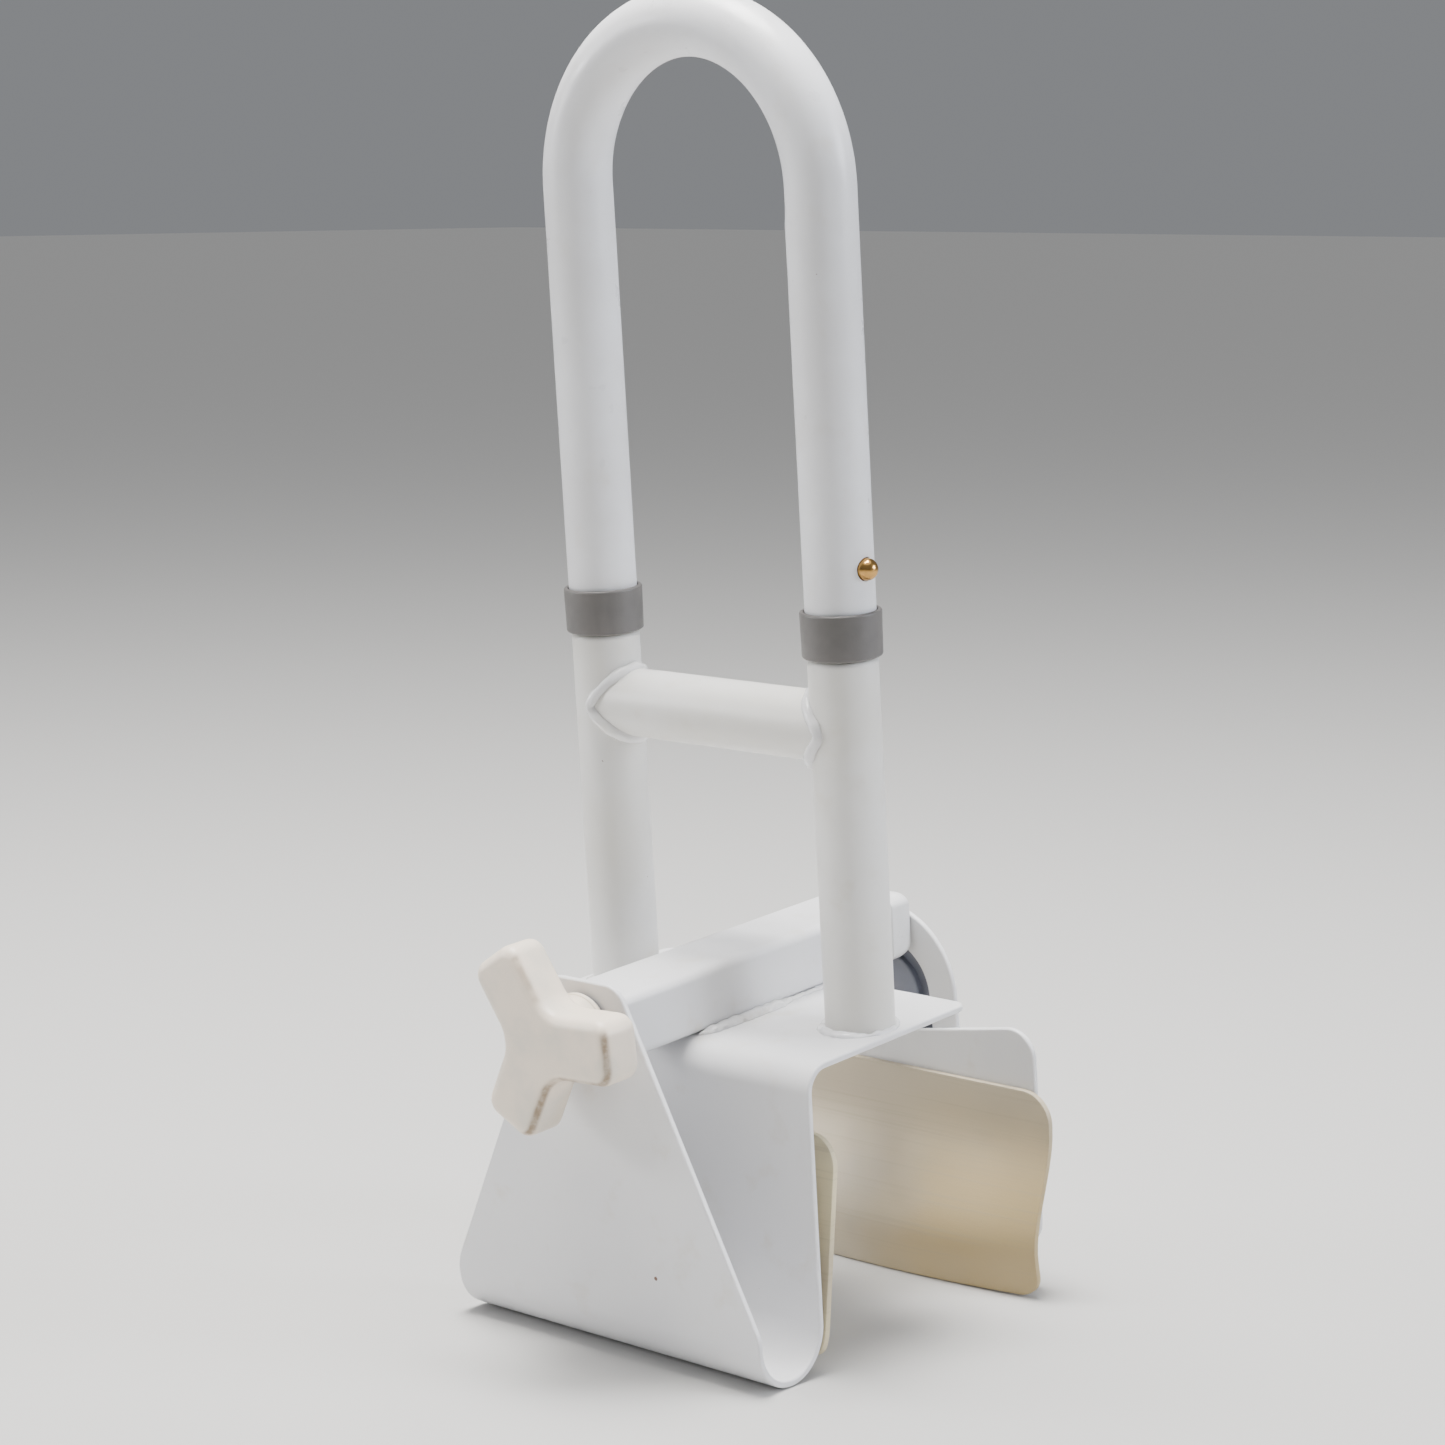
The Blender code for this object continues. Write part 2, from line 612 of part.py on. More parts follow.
def make_rear_pad():
    rows = [(z, x) for x, z in arc(REAR_PAD_HALF - PAD_CORNER_R, 0, PAD_CORNER_R, 90, 0, 5)]
    rows = [(REAR_PAD_TOP_Z - PAD_CORNER_R + z, x) for z, x in rows]
    straight_top = REAR_PAD_TOP_Z - PAD_CORNER_R
    straight_end = REAR_PAD_BOTTOM_Z + REAR_PAD_FOOT_R
    steps = 9
    for i in range(1, steps):
        rows.append((straight_top + (straight_end - straight_top) * i / steps, REAR_PAD_HALF))
    inset = REAR_PAD_HALF - REAR_PAD_FOOT_R
    foot = arc(inset, straight_end, REAR_PAD_FOOT_R, 0, -90, 4)
    rows += [(z, x) for x, z in foot]
    columns = 12
    bm = bmesh.new()
    grid = []
    for z, half in rows:
        spread = [half * (2 * i / columns - 1) for i in range(columns + 1)]
        grid.append([bm.verts.new((x, rear_pad_y(x, z), z)) for x in spread])
    for upper, lower in zip(grid, grid[1:]):
        for i in range(columns):
            bm.faces.new((upper[i], lower[i], lower[i + 1], upper[i + 1]))
    pad = finished("rear_jaw_pad", bm, VINYL)
    wall = pad.modifiers.new("thickness", "SOLIDIFY")
    wall.thickness = PAD
    wall.offset = 0


def main():
    clear_scene()
    make_fixed_jaw()
    make_guide()
    make_uprights()
    make_crossbar()
    make_fixed_pad()
    make_hoop()
    make_snap_button()
    make_knob()
    make_slider()
    make_arch()
    make_rear_plate()
    make_rear_pad()


main()
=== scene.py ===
"""Looks of a clamp-on bath grab rail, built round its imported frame.

X runs across the rail, Y from the knob to the rear jaw, and Z is up, in metres. Each sub-assembly is a
class that holds its sizes and builds its meshes, and each finish is a class that builds its material.
Positions come from the boxes of the frame's nodes, and sizes that a box can't tell are fields.
"""

import logging
import math
from collections.abc import Callable, Iterable, Sequence
from dataclasses import dataclass
from enum import Enum

import bmesh
import bpy
from mathutils import Matrix, Vector, noise


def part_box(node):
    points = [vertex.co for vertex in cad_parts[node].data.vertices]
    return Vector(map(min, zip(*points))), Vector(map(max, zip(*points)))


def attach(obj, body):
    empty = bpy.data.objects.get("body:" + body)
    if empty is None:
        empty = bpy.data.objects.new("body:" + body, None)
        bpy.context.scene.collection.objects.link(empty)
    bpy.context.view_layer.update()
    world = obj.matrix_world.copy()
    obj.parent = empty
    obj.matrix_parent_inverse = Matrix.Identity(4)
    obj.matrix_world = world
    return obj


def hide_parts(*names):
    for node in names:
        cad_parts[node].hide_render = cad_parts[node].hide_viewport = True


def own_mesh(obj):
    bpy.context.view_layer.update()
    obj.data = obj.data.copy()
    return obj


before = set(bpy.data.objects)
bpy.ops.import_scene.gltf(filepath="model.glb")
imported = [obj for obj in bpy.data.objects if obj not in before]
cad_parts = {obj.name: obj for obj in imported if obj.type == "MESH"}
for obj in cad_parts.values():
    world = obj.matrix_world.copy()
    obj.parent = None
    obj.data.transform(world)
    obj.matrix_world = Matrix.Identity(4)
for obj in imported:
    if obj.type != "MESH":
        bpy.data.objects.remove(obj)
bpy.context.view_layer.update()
log = logging.getLogger("bath_rail")

GAP = 0.0003  # left between pieces that touch
TINY = 1e-6
UP = Vector((0, 0, 1))
AHEAD = Vector((0, 1, 0))  # from the knob to the rear jaw
Point = tuple[float, float]
Socket = bpy.types.NodeSocket
Tree = bpy.types.NodeTree


class Body(Enum):
    """The bodies of the frame that pieces ride on."""

    FRAME = "frame"
    HOOP = "hoop"
    BUTTON = "snap_button"
    KNOB = "knob"
    REAR_JAW = "rear_jaw"


class Axis(Enum):
    """The axes that plates are sliced along, by their place in a vector."""

    X = 0
    Y = 1


@dataclass(frozen=True)
class Extent:
    """The box of a frame node."""

    low: Vector
    high: Vector

    @classmethod
    def of(cls, node: str) -> "Extent":
        """The box of the node named."""
        low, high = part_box(node)
        return cls(Vector(low), Vector(high))

    @property
    def centre(self) -> Vector:
        """The middle of the box."""
        return (self.low + self.high) / 2

    @property
    def size(self) -> Vector:
        """The three lengths of the box."""
        return self.high - self.low


# Nodes of the materials


def linear(colour: str) -> tuple[float, float, float, float]:
    """Turns an sRGB hex colour, such as "#E6E2D8", to linear red, green, blue and alpha.

    Args:
        colour: the hex colour.

    Returns:
        The four linear values.
    """
    parts = [int(colour[i : i + 2], 16) / 255 for i in (1, 3, 5)]
    red, green, blue = (c / 12.92 if c <= 0.04045 else ((c + 0.055) / 1.055) ** 2.4 for c in parts)
    return red, green, blue, 1.0


def add(tree: Tree, kind: str, settings: dict | None = None, links: dict | None = None) -> bpy.types.Node:
    """Adds a node with its settings and links.

    Args:
        tree: the node tree that gets it.
        kind: the node's type name.
        settings: values by the name or number of an input, or else by the name of a property.
        links: output sockets by the input that each one feeds.

    Returns:
        The new node.
    """
    made = tree.nodes.new(kind)
    for key, value in (settings or {}).items():
        if isinstance(key, int) or key in made.inputs:
            made.inputs[key].default_value = value
        else:
            setattr(made, key, value)
    for key, socket in (links or {}).items():
        tree.links.new(socket, made.inputs[key])
    return made


def ramped(tree: Tree, value: Socket, low: float, high: float, to: Point = (0.0, 1.0)) -> Socket:
    """Eases a value from to[0] at low to to[1] at high, and holds it outside."""
    settings = {"interpolation_type": "SMOOTHSTEP", 1: low, 2: high, 3: to[0], 4: to[1]}
    return add(tree, "ShaderNodeMapRange", settings, {0: value}).outputs[0]


def both(tree: Tree, first: Socket, second: Socket | float) -> Socket:
    """The product of two masks, or of a mask and a number.

    Args:
        tree: the node tree that gets the nodes.
        first: a mask.
        second: another mask, or a number.

    Returns:
        The product.
    """
    if isinstance(second, float):
        return add(tree, "ShaderNodeMath", {"operation": "MULTIPLY", 1: second}, {0: first}).outputs[0]
    return add(tree, "ShaderNodeMath", {"operation": "MULTIPLY"}, {0: first, 1: second}).outputs[0]


def cloud(tree: Tree, place: Socket, size: float, detail: float = 2.0) -> Socket:
    """Soft noise from about 0.3 to 0.7 whose lumps are about size metres across."""
    settings = {"Scale": 1 / size, "Detail": detail, "Roughness": 0.55}
    return add(tree, "ShaderNodeTexNoise", settings, {"Vector": place}).outputs[0]


def patches(tree: Tree, place: Socket, size: float, low: float, high: float, detail: float = 3.0) -> Socket:
    """A mask of soft patches, about size metres across, where the noise goes from low to high."""
    return ramped(tree, cloud(tree, place, size, detail), low, high)


def specks(tree: Tree, place: Socket, apart: float, radius: float, share: float) -> Socket:
    """A mask of small specks.

    Args:
        tree: the node tree that gets the nodes.
        place: the coordinates that the specks are scattered in.
        apart: the distance between the places that may hold one, in metres.
        radius: the radius of a speck, in metres.
        share: the share of those places that do hold one.

    Returns:
        A socket that is 1 on a speck and 0 elsewhere.
    """
    ragged = add(tree, "ShaderNodeTexNoise", {"Scale": 1.5 / radius, "Detail": 1.0}, {"Vector": place})
    push = add(
        tree,
        "ShaderNodeVectorMath",
        {"operation": "MULTIPLY_ADD", 1: (radius, radius, radius)},
        {0: ragged.outputs[1], 2: place},
    )
    cells = add(tree, "ShaderNodeTexVoronoi", {"Scale": 1 / apart}, {"Vector": push.outputs[0]})
    near = {"operation": "LESS_THAN", 1: radius / apart}
    dot = add(tree, "ShaderNodeMath", near, {0: cells.outputs["Distance"]}).outputs[0]
    lot = add(tree, "ShaderNodeSeparateColor", {}, {0: cells.outputs["Color"]}).outputs[0]
    held = add(tree, "ShaderNodeMath", {"operation": "LESS_THAN", 1: share}, {0: lot}).outputs[0]
    return both(tree, dot, held)


def tinted(tree: Tree, base: str | Socket, tint: str, mask: Socket) -> Socket:
    """The base colour where the mask is 0, and the tint where it is 1.

    Args:
        tree: the node tree that gets the nodes.
        base: a hex colour or a socket.
        tint: a hex colour.
        mask: how much of the tint shows, from 0 to 1.

    Returns:
        The mixed colour.
    """
    settings: dict = {"data_type": "RGBA", 7: linear(tint)}
    links: dict = {0: mask}
    if isinstance(base, str):
        settings[6] = linear(base)
    else:
        links[6] = base
    return add(tree, "ShaderNodeMix", settings, links).outputs[2]


def relief(tree: Tree, height: Socket, depth: float, below: Socket | None = None) -> Socket:
    """A bump of the given depth in metres, on top of another one if it is given."""
    links = {"Height": height} | ({"Normal": below} if below else {})
    return add(tree, "ShaderNodeBump", {"Distance": depth}, links).outputs[0]


def stretched(tree: Tree, place: Socket, scale: tuple[float, float, float]) -> Socket:
    """Coordinates multiplied by scale, so that a pattern on them is drawn out along the small ones."""
    return add(tree, "ShaderNodeMapping", {"Scale": scale}, {"Vector": place}).outputs[0]


# Finishes


@dataclass(frozen=True)
class Finish:
    """What every finish has: its material's name, the record's slot that it fills, and its main colour."""

    name: str
    slot: str
    colour: str
    roughness: float = 0.45
    metallic: float = 0.0

    def material(self) -> bpy.types.Material:
        """The material of this finish, made the first time that it is asked for.

        Returns:
            The material.
        """
        found = bpy.data.materials.get(self.name)
        if found:
            return found
        made = bpy.data.materials.new(self.name)
        made.use_nodes = True
        made.diffuse_color = linear(self.colour)
        shader = made.node_tree.nodes["Principled BSDF"]
        shader.inputs["Metallic"].default_value = self.metallic
        shader.inputs["Roughness"].default_value = self.roughness
        place = add(made.node_tree, "ShaderNodeTexCoord").outputs["Object"]
        self.dress(made.node_tree, shader, place)
        return made

    def dress(self, tree: Tree, shader: bpy.types.Node, place: Socket) -> None:
        """Adds this finish's own nodes to its material."""
        raise NotImplementedError


@dataclass(frozen=True)
class PowderCoat(Finish):
    """White epoxy powder coat, baked on steel.

    The melted powder leaves a semi-gloss skin with a faint orange peel and a few dark specks of dust that it
    caught. Use adds soft warm smudges, and a few chips down to the brown primer.
    """

    shade: str = "#DCDCDE"
    smudge: str = "#CBC3B4"
    smudges: float = 0.35
    chips: float = 0.05
    peel: float = 0.0000045

    def dress(self, tree: Tree, shader: bpy.types.Node, place: Socket) -> None:
        """Adds tone, smudges, specks, chips and orange peel.

        Args:
            tree: the node tree that gets the nodes.
            shader: the material's shader.
            place: the coordinates that its patterns read.
        """
        colour = tinted(tree, self.colour, self.shade, patches(tree, place, 0.045, 0.35, 0.65))
        stain = both(tree, patches(tree, place, 0.016, 0.56, 0.80, 6.0), self.smudges)
        colour = tinted(tree, colour, self.smudge, stain)
        colour = tinted(tree, colour, "#8A7F74", specks(tree, place, 0.009, 0.00022, 0.16))
        chip = specks(tree, place, 0.026, 0.0008, self.chips)
        colour = tinted(tree, colour, "#6E5140", chip)
        tree.links.new(colour, shader.inputs["Base Color"])
        gloss = cloud(tree, place, 0.012, 4.0)
        low, high = self.roughness - 0.07, self.roughness + 0.09
        tree.links.new(ramped(tree, gloss, 0.3, 0.7, (low, high)), shader.inputs["Roughness"])
        pitted = relief(tree, chip, -0.00008)
        skin = relief(tree, cloud(tree, place, 0.0028, 1.0), self.peel * 4, pitted)
        tree.links.new(skin, shader.inputs["Normal"])


@dataclass(frozen=True)
class Vinyl(Finish):
    """Soft cream vinyl sheet, calendered and cut.

    Its face is matt with faint lines from the rolls, and it has yellowed with age, most of all towards one
    lower corner. Dark scuffs are rubbed into it.
    """

    aged: str = "#B09A6B"
    grey: str = "#AAA293"
    ageing: float = 1.0
    from_z: float = 0.0
    to_z: float = 0.0

    def dress(self, tree: Tree, shader: bpy.types.Node, place: Socket) -> None:
        """Adds yellowing, roll lines, scuffs and a fine grain.

        Args:
            tree: the node tree that gets the nodes.
            shader: the material's shader.
            place: the coordinates that its patterns read.
        """
        apart = add(tree, "ShaderNodeSeparateXYZ", {}, {0: place})
        colour = tinted(tree, self.colour, self.grey, patches(tree, place, 0.07, 0.42, 0.68))
        wander = add(
            tree,
            "ShaderNodeMath",
            {"operation": "MULTIPLY_ADD", 1: 0.11},
            {0: cloud(tree, place, 0.06), 2: apart.outputs[0]},
        ).outputs[0]
        side = ramped(tree, wander, 0.03, 0.115)
        down = ramped(tree, apart.outputs[2], self.from_z, self.to_z)
        colour = tinted(tree, colour, self.aged, both(tree, both(tree, side, down), self.ageing))
        lines = cloud(tree, stretched(tree, place, (8.0, 8.0, 700.0)), 1.0, 3.0)
        colour = tinted(tree, colour, "#A0957E", both(tree, ramped(tree, lines, 0.52, 0.72), 0.3))
        scuffs = specks(tree, stretched(tree, place, (1.0, 1.0, 0.45)), 0.017, 0.0005, 0.22)
        colour = tinted(tree, colour, "#6A5F50", both(tree, scuffs, 0.75))
        tree.links.new(colour, shader.inputs["Base Color"])
        low, high = self.roughness - 0.08, self.roughness + 0.1
        rough = ramped(tree, cloud(tree, place, 0.02, 4.0), 0.3, 0.7, (low, high))
        tree.links.new(rough, shader.inputs["Roughness"])
        rolled = relief(tree, lines, 0.00003)
        grain = relief(tree, cloud(tree, place, 0.0009, 2.0), 0.00003, rolled)
        tree.links.new(grain, shader.inputs["Normal"])


@dataclass(frozen=True)
class CutVinyl(Finish):
    """The cut edge of the vinyl sheet.

    A knife leaves it smoother than the rolled face, with faint marks along the cut; its much lighter colour
    is partly its own and partly painted highlight where the edges catch the light.
    """

    def dress(self, tree: Tree, shader: bpy.types.Node, place: Socket) -> None:
        """Adds faint stains and cut marks.

        Args:
            tree: the node tree that gets the nodes.
            shader: the material's shader.
            place: the coordinates that its patterns read.
        """
        colour = tinted(tree, self.colour, "#D9CDA6", patches(tree, place, 0.014, 0.45, 0.75, 4.0))
        colour = tinted(tree, colour, "#8C7B58", specks(tree, place, 0.008, 0.0003, 0.12))
        tree.links.new(colour, shader.inputs["Base Color"])
        marks = relief(tree, cloud(tree, place, 0.0006, 2.0), 0.00004)
        tree.links.new(marks, shader.inputs["Normal"])


@dataclass(frozen=True)
class Moulded(Finish):
    """Moulded thermoplastic, such as a nylon knob or a polypropylene collar.

    Spark-eroded tool steel gives it a fine, even grain, and handling leaves pale or dark specks.
    """

    cloudy: str = "#D9D1C2"
    speck: str = "#8B8072"
    speck_share: float = 0.10
    grain: float = 0.00003
    grime_and_shade: str = ""

    def dress(self, tree: Tree, shader: bpy.types.Node, place: Socket) -> None:
        """Adds tone, specks, grain and, where asked, grime and painted shade along the front edges.

        Args:
            tree: the node tree that gets the nodes.
            shader: the material's shader.
            place: the coordinates that its patterns read.
        """
        colour = tinted(tree, self.colour, self.cloudy, patches(tree, place, 0.022, 0.40, 0.70, 4.0))
        colour = tinted(tree, colour, self.speck, specks(tree, place, 0.0065, 0.00025, self.speck_share))
        # brown on the front edges that face right and down: partly grime, partly painted shade
        if self.grime_and_shade:
            colour = tinted(tree, colour, self.grime_and_shade, self.grimy_shaded_edge(tree, place))
        tree.links.new(colour, shader.inputs["Base Color"])
        low, high = self.roughness - 0.06, self.roughness + 0.08
        rough = ramped(tree, cloud(tree, place, 0.008, 4.0), 0.3, 0.7, (low, high))
        tree.links.new(rough, shader.inputs["Roughness"])
        tree.links.new(relief(tree, cloud(tree, place, 0.0007, 2.0), self.grain), shader.inputs["Normal"])

    def grimy_shaded_edge(self, tree: Tree, place: Socket) -> Socket:
        """A mask of the rounded front edges that face right and down, browned partly as grime and partly as
        painted shade.

        Args:
            tree: the node tree that gets the nodes.
            place: the coordinates that its patterns read.

        Returns:
            The mask.
        """
        normal = add(tree, "ShaderNodeTexCoord").outputs["Normal"]
        parts = add(tree, "ShaderNodeSeparateXYZ", {}, {0: normal}).outputs
        start = ramped(tree, parts[1], -0.99, -0.80)
        end = ramped(tree, parts[1], -0.62, -0.22, (1.0, 0.0))
        lean = {"operation": "DOT_PRODUCT", 1: (0.85, 0.0, -0.53)}
        facing = add(tree, "ShaderNodeVectorMath", lean, {0: normal}).outputs["Value"]
        towards = ramped(tree, facing, 0.10, 0.55)
        broken = ramped(tree, cloud(tree, place, 0.006, 5.0), 0.30, 0.62, (0.30, 0.95))
        return both(tree, both(tree, both(tree, start, end), towards), broken)


@dataclass(frozen=True)
class BareMetal(Finish):
    """Bare or plated metal: zinc-plated steel, spring steel or brass.

    Turning or drawing leaves fine lines along it, and the surface dulls in patches as it ages.
    """

    dull: str = "#ABAEB2"
    lines: tuple[float, float, float] = (60.0, 60.0, 3000.0)

    def dress(self, tree: Tree, shader: bpy.types.Node, place: Socket) -> None:
        """Adds dull patches, fine lines and an uneven gloss.

        Args:
            tree: the node tree that gets the nodes.
            shader: the material's shader.
            place: the coordinates that its patterns read.
        """
        colour = tinted(tree, self.colour, self.dull, patches(tree, place, 0.009, 0.45, 0.75, 3.0))
        tree.links.new(colour, shader.inputs["Base Color"])
        low, high = self.roughness - 0.03, self.roughness + 0.06
        rough = ramped(tree, cloud(tree, place, 0.003, 4.0), 0.35, 0.7, (low, high))
        tree.links.new(rough, shader.inputs["Roughness"])
        drawn = cloud(tree, stretched(tree, place, self.lines), 1.0, 2.0)
        tree.links.new(relief(tree, drawn, 0.000006), shader.inputs["Normal"])


HANDLE_PAINT = PowderCoat("powder_coat_on_tube", "white_paint", "#E4E5E8", 0.34, smudges=0.25, chips=0.02)
POST_PAINT = PowderCoat(
    "powder_coat_on_posts", "white_paint", "#E0DFDC", 0.36, shade="#D9D7D1", smudges=0.45
)
SHEET_PAINT = PowderCoat("powder_coat_on_sheet", "white_paint", "#DFDFE0", 0.38, smudges=0.5, chips=0.09)
WELD_PAINT = PowderCoat(
    "powder_coat_on_welds", "white_paint", "#E9E8E5", 0.16, smudges=0.7, chips=0.0, peel=0.00001
)
FIXED_VINYL = Vinyl("cream_vinyl_fixed_pad", "vinyl", "#E2D8B4", 0.5, ageing=0.3, from_z=0.0, to_z=-0.06)
# The rear pad's cream is darker than the fixed pad's, though both are the same vinyl: partly painted shade.
REAR_VINYL = Vinyl("cream_vinyl_rear_pad", "vinyl", "#B9AD97", 0.5, ageing=0.85, from_z=-0.035, to_z=-0.085)
# The cut edge's light cream is partly painted highlight, where the edges catch the light.
CUT_VINYL = CutVinyl("cut_edge_of_vinyl", "vinyl", "#F6EFD6", 0.5)
# The knob's brown on its right and lower front edges is partly grime and partly painted shade.
IVORY = Moulded("ivory_nylon", "ivory_plastic", "#EBDDCB", 0.42, grime_and_shade="#8A7358")
COLLAR_GREY = Moulded(
    "grey_polypropylene",
    "grey_plastic",
    "#625F5D",
    0.42,
    cloudy="#595755",
    speck="#D2D1CC",
    speck_share=0.05,
)
# The cover's dark bluish grey is painted shade: the deep shade inside the arch, put in its colour.
COVER_IN_PAINTED_SHADE = Moulded("cover_plastic_painted_shade", "dark_plastic", "#6E7280", 0.38, cloudy="#656A77")
WHITE_NYLON = Moulded("white_nylon", "white_plastic", "#E6E6E6", 0.32, cloudy="#DEDEDD", speck_share=0.04)
ZINC = BareMetal("zinc_plated_steel", "zinc", "#C3C6CA", 0.30, 1.0)
SPRING = BareMetal("blued_spring_steel", "spring_steel", "#8A8D93", 0.28, 1.0, dull="#6B6E74")
BRASS = BareMetal(
    "polished_brass", "brass", "#D2A560", 0.20, 1.0, dull="#A37C45", lines=(3000.0, 60.0, 60.0)
)


# Shapes


def arc(centre: Point, radius: float, start: float, end: float, steps: int) -> list[Point]:
    """Points of an arc, with its angles in degrees from the first axis towards the second."""
    turns = [math.radians(start + (end - start) * i / steps) for i in range(steps + 1)]
    return [(centre[0] + radius * math.cos(t), centre[1] + radius * math.sin(t)) for t in turns]


def mirrored(half: Sequence[Point]) -> list[Point]:
    """A closed outline from its right half, which starts and ends on or beside the middle line."""
    return list(half) + [(-a, b) for a, b in reversed(half) if abs(a) > TINY]


def smooth(share: float) -> float:
    """Eases a share from 0 to 1, and holds it outside."""
    held = min(max(share, 0.0), 1.0)
    return held * held * (3 - 2 * held)


def rod(radius: float, low: float, high: float) -> list[Point]:
    """The profile of a plain rod, from axis to axis."""
    return [(0, low), (radius, low), (radius, high), (0, high)]


def rounded_rectangle(width: float, height: float, radius: float, steps: int = 6) -> list[Point]:
    """A rectangle with round corners, centred on the origin.

    Args:
        width: its size along the first axis.
        height: its size along the second axis.
        radius: the corners' radius.
        steps: the flats of each corner.

    Returns:
        The points, round the outline.
    """
    a, b = width / 2 - radius, height / 2 - radius
    corners = ((a, b, 0), (-a, b, 90), (-a, -b, 180), (a, -b, 270))
    return [p for ca, cb, turn in corners for p in arc((ca, cb), radius, turn, turn + 90, steps)]


def new_parts(result: dict, kind: type) -> list:
    """The parts of one kind among what a bmesh operator made."""
    return [part for part in result["geom"] if isinstance(part, kind)]


def bevelled(
    bm: bmesh.types.BMesh, edges: Iterable[bmesh.types.BMEdge], radius: float, segments: int
) -> None:
    """Rounds edges to a radius.

    Args:
        bm: the shape.
        edges: the edges to round.
        radius: the size of the rounding.
        segments: the flats of each rounding.
    """
    bmesh.ops.bevel(
        bm,
        geom=list(edges),
        offset=radius,
        segments=segments,
        profile=0.5,
        affect="EDGES",
        material=-1,
    )


def plate(
    outline: Sequence[Point], thickness: float, rounding: float, segments: int = 3
) -> bmesh.types.BMesh:
    """A flat plate with rounded edges.

    Args:
        outline: its outline in the first two axes.
        thickness: its thickness, half of it on each side of the outline's plane.
        rounding: the radius of its edges.
        segments: how many flats each rounded edge has.

    Returns:
        A new bmesh.
    """
    bm = bmesh.new()
    face = bm.faces.new([bm.verts.new((a, b, -thickness / 2)) for a, b in outline])
    result = bmesh.ops.extrude_face_region(bm, geom=[face])
    bmesh.ops.translate(bm, verts=new_parts(result, bmesh.types.BMVert), vec=(0, 0, thickness))
    rims = [e for e in bm.edges if abs(e.verts[0].co.z - e.verts[1].co.z) < TINY]
    bevelled(bm, rims, rounding, segments)
    return bm


def sliced(bm: bmesh.types.BMesh, axis: Axis, places: Iterable[float]) -> None:
    """Cuts new rows of vertices across a shape, at places along an axis.

    Args:
        bm: the shape.
        axis: the axis that the cuts stand across.
        places: where they cut it.
    """
    normal = [0.0, 0.0, 0.0]
    normal[axis.value] = 1.0
    for place in places:
        point = [place * n for n in normal]
        geometry = bm.verts[:] + bm.edges[:] + bm.faces[:]
        bmesh.ops.bisect_plane(bm, geom=geometry, dist=TINY, plane_co=point, plane_no=normal)


def evenly(low: float, high: float, step: float) -> list[float]:
    """Places between low and high, not counting the ends, about step apart."""
    count = max(1, round((high - low) / step))
    return [low + (high - low) * i / count for i in range(1, count)]


def moved(bm: bmesh.types.BMesh, rule: Callable[[Vector], Vector]) -> bmesh.types.BMesh:
    """Moves every vertex to where a rule says, and returns the bmesh.

    Args:
        bm: the shape.
        rule: takes a place to the new one.

    Returns:
        The same shape.
    """
    for vertex in bm.verts:
        vertex.co = rule(vertex.co.copy())
    return bm


def upright(bm: bmesh.types.BMesh, y: float) -> bmesh.types.BMesh:
    """Stands a plate up, its outline in X and Z and its middle surface at y."""
    return moved(bm, lambda v: Vector((v.x, y + v.z, v.y)))


def turned(profile: Sequence[Point], steps: int = 48, closed: bool = True) -> bmesh.types.BMesh:
    """A solid turned about Z.

    Args:
        profile: points of radius and height.
        steps: flats round the solid.
        closed: whether the profile closes to a ring, or else starts and ends on the axis.

    Returns:
        A new bmesh.
    """
    bm = bmesh.new()
    points = [bm.verts.new((radius, 0, height)) for radius, height in profile]
    edges = [bm.edges.new(pair) for pair in zip(points, points[1:])]
    if closed:
        edges.append(bm.edges.new((points[-1], points[0])))
    bmesh.ops.spin(
        bm,
        geom=points + edges,
        cent=(0, 0, 0),
        axis=(0, 0, 1),
        angle=math.tau,
        steps=steps,
        use_merge=True,
    )
    bmesh.ops.remove_doubles(bm, verts=bm.verts, dist=TINY)
    return bm


def eased_ring(inner: float, outer: float, low: float, high: float, rounding: float) -> list[Point]:
    """The profile of a ring whose two outer edges are rounded.

    Args:
        inner: the hole's radius.
        outer: the outer radius.
        low: the height of its one face.
        high: the height of the other.
        rounding: the edges' radius.

    Returns:
        The points of the profile.
    """
    foot = arc((outer - rounding, low + rounding), rounding, -90, 0, 4)
    head = arc((outer - rounding, high - rounding), rounding, 0, 90, 4)
    return [(inner, low)] + foot + head + [(inner, high)]


def placed(bm: bmesh.types.BMesh, place: Matrix) -> bmesh.types.BMesh:
    """Moves a whole shape, and returns it."""
    bmesh.ops.transform(bm, matrix=place, verts=bm.verts)
    return bm


def along_y(bm: bmesh.types.BMesh, z: float) -> bmesh.types.BMesh:
    """Lays a shape turned about Z along Y at height z, its own heights becoming Y."""
    return placed(bm, Matrix.Translation((0, 0, z)) @ Matrix.Rotation(-math.pi / 2, 4, "X"))


def station(at: Vector, along: Vector, up: Vector, wide: float, high: float | None = None) -> Matrix:
    """A place on a path for a section of radius 1.

    Args:
        at: the point on the path.
        along: the direction of the path.
        up: the direction that the section's second axis leans to.
        wide: the section's size along its first axis.
        high: its size along its second axis, or the same where it is None.

    Returns:
        The matrix that takes the section there.
    """
    ahead = along.normalized()
    top = (up - ahead * up.dot(ahead)).normalized()
    side = top.cross(ahead)
    tall = wide if high is None else high
    turn = Matrix((side * wide, top * tall, ahead * wide)).transposed().to_4x4()
    return Matrix.Translation(at) @ turn


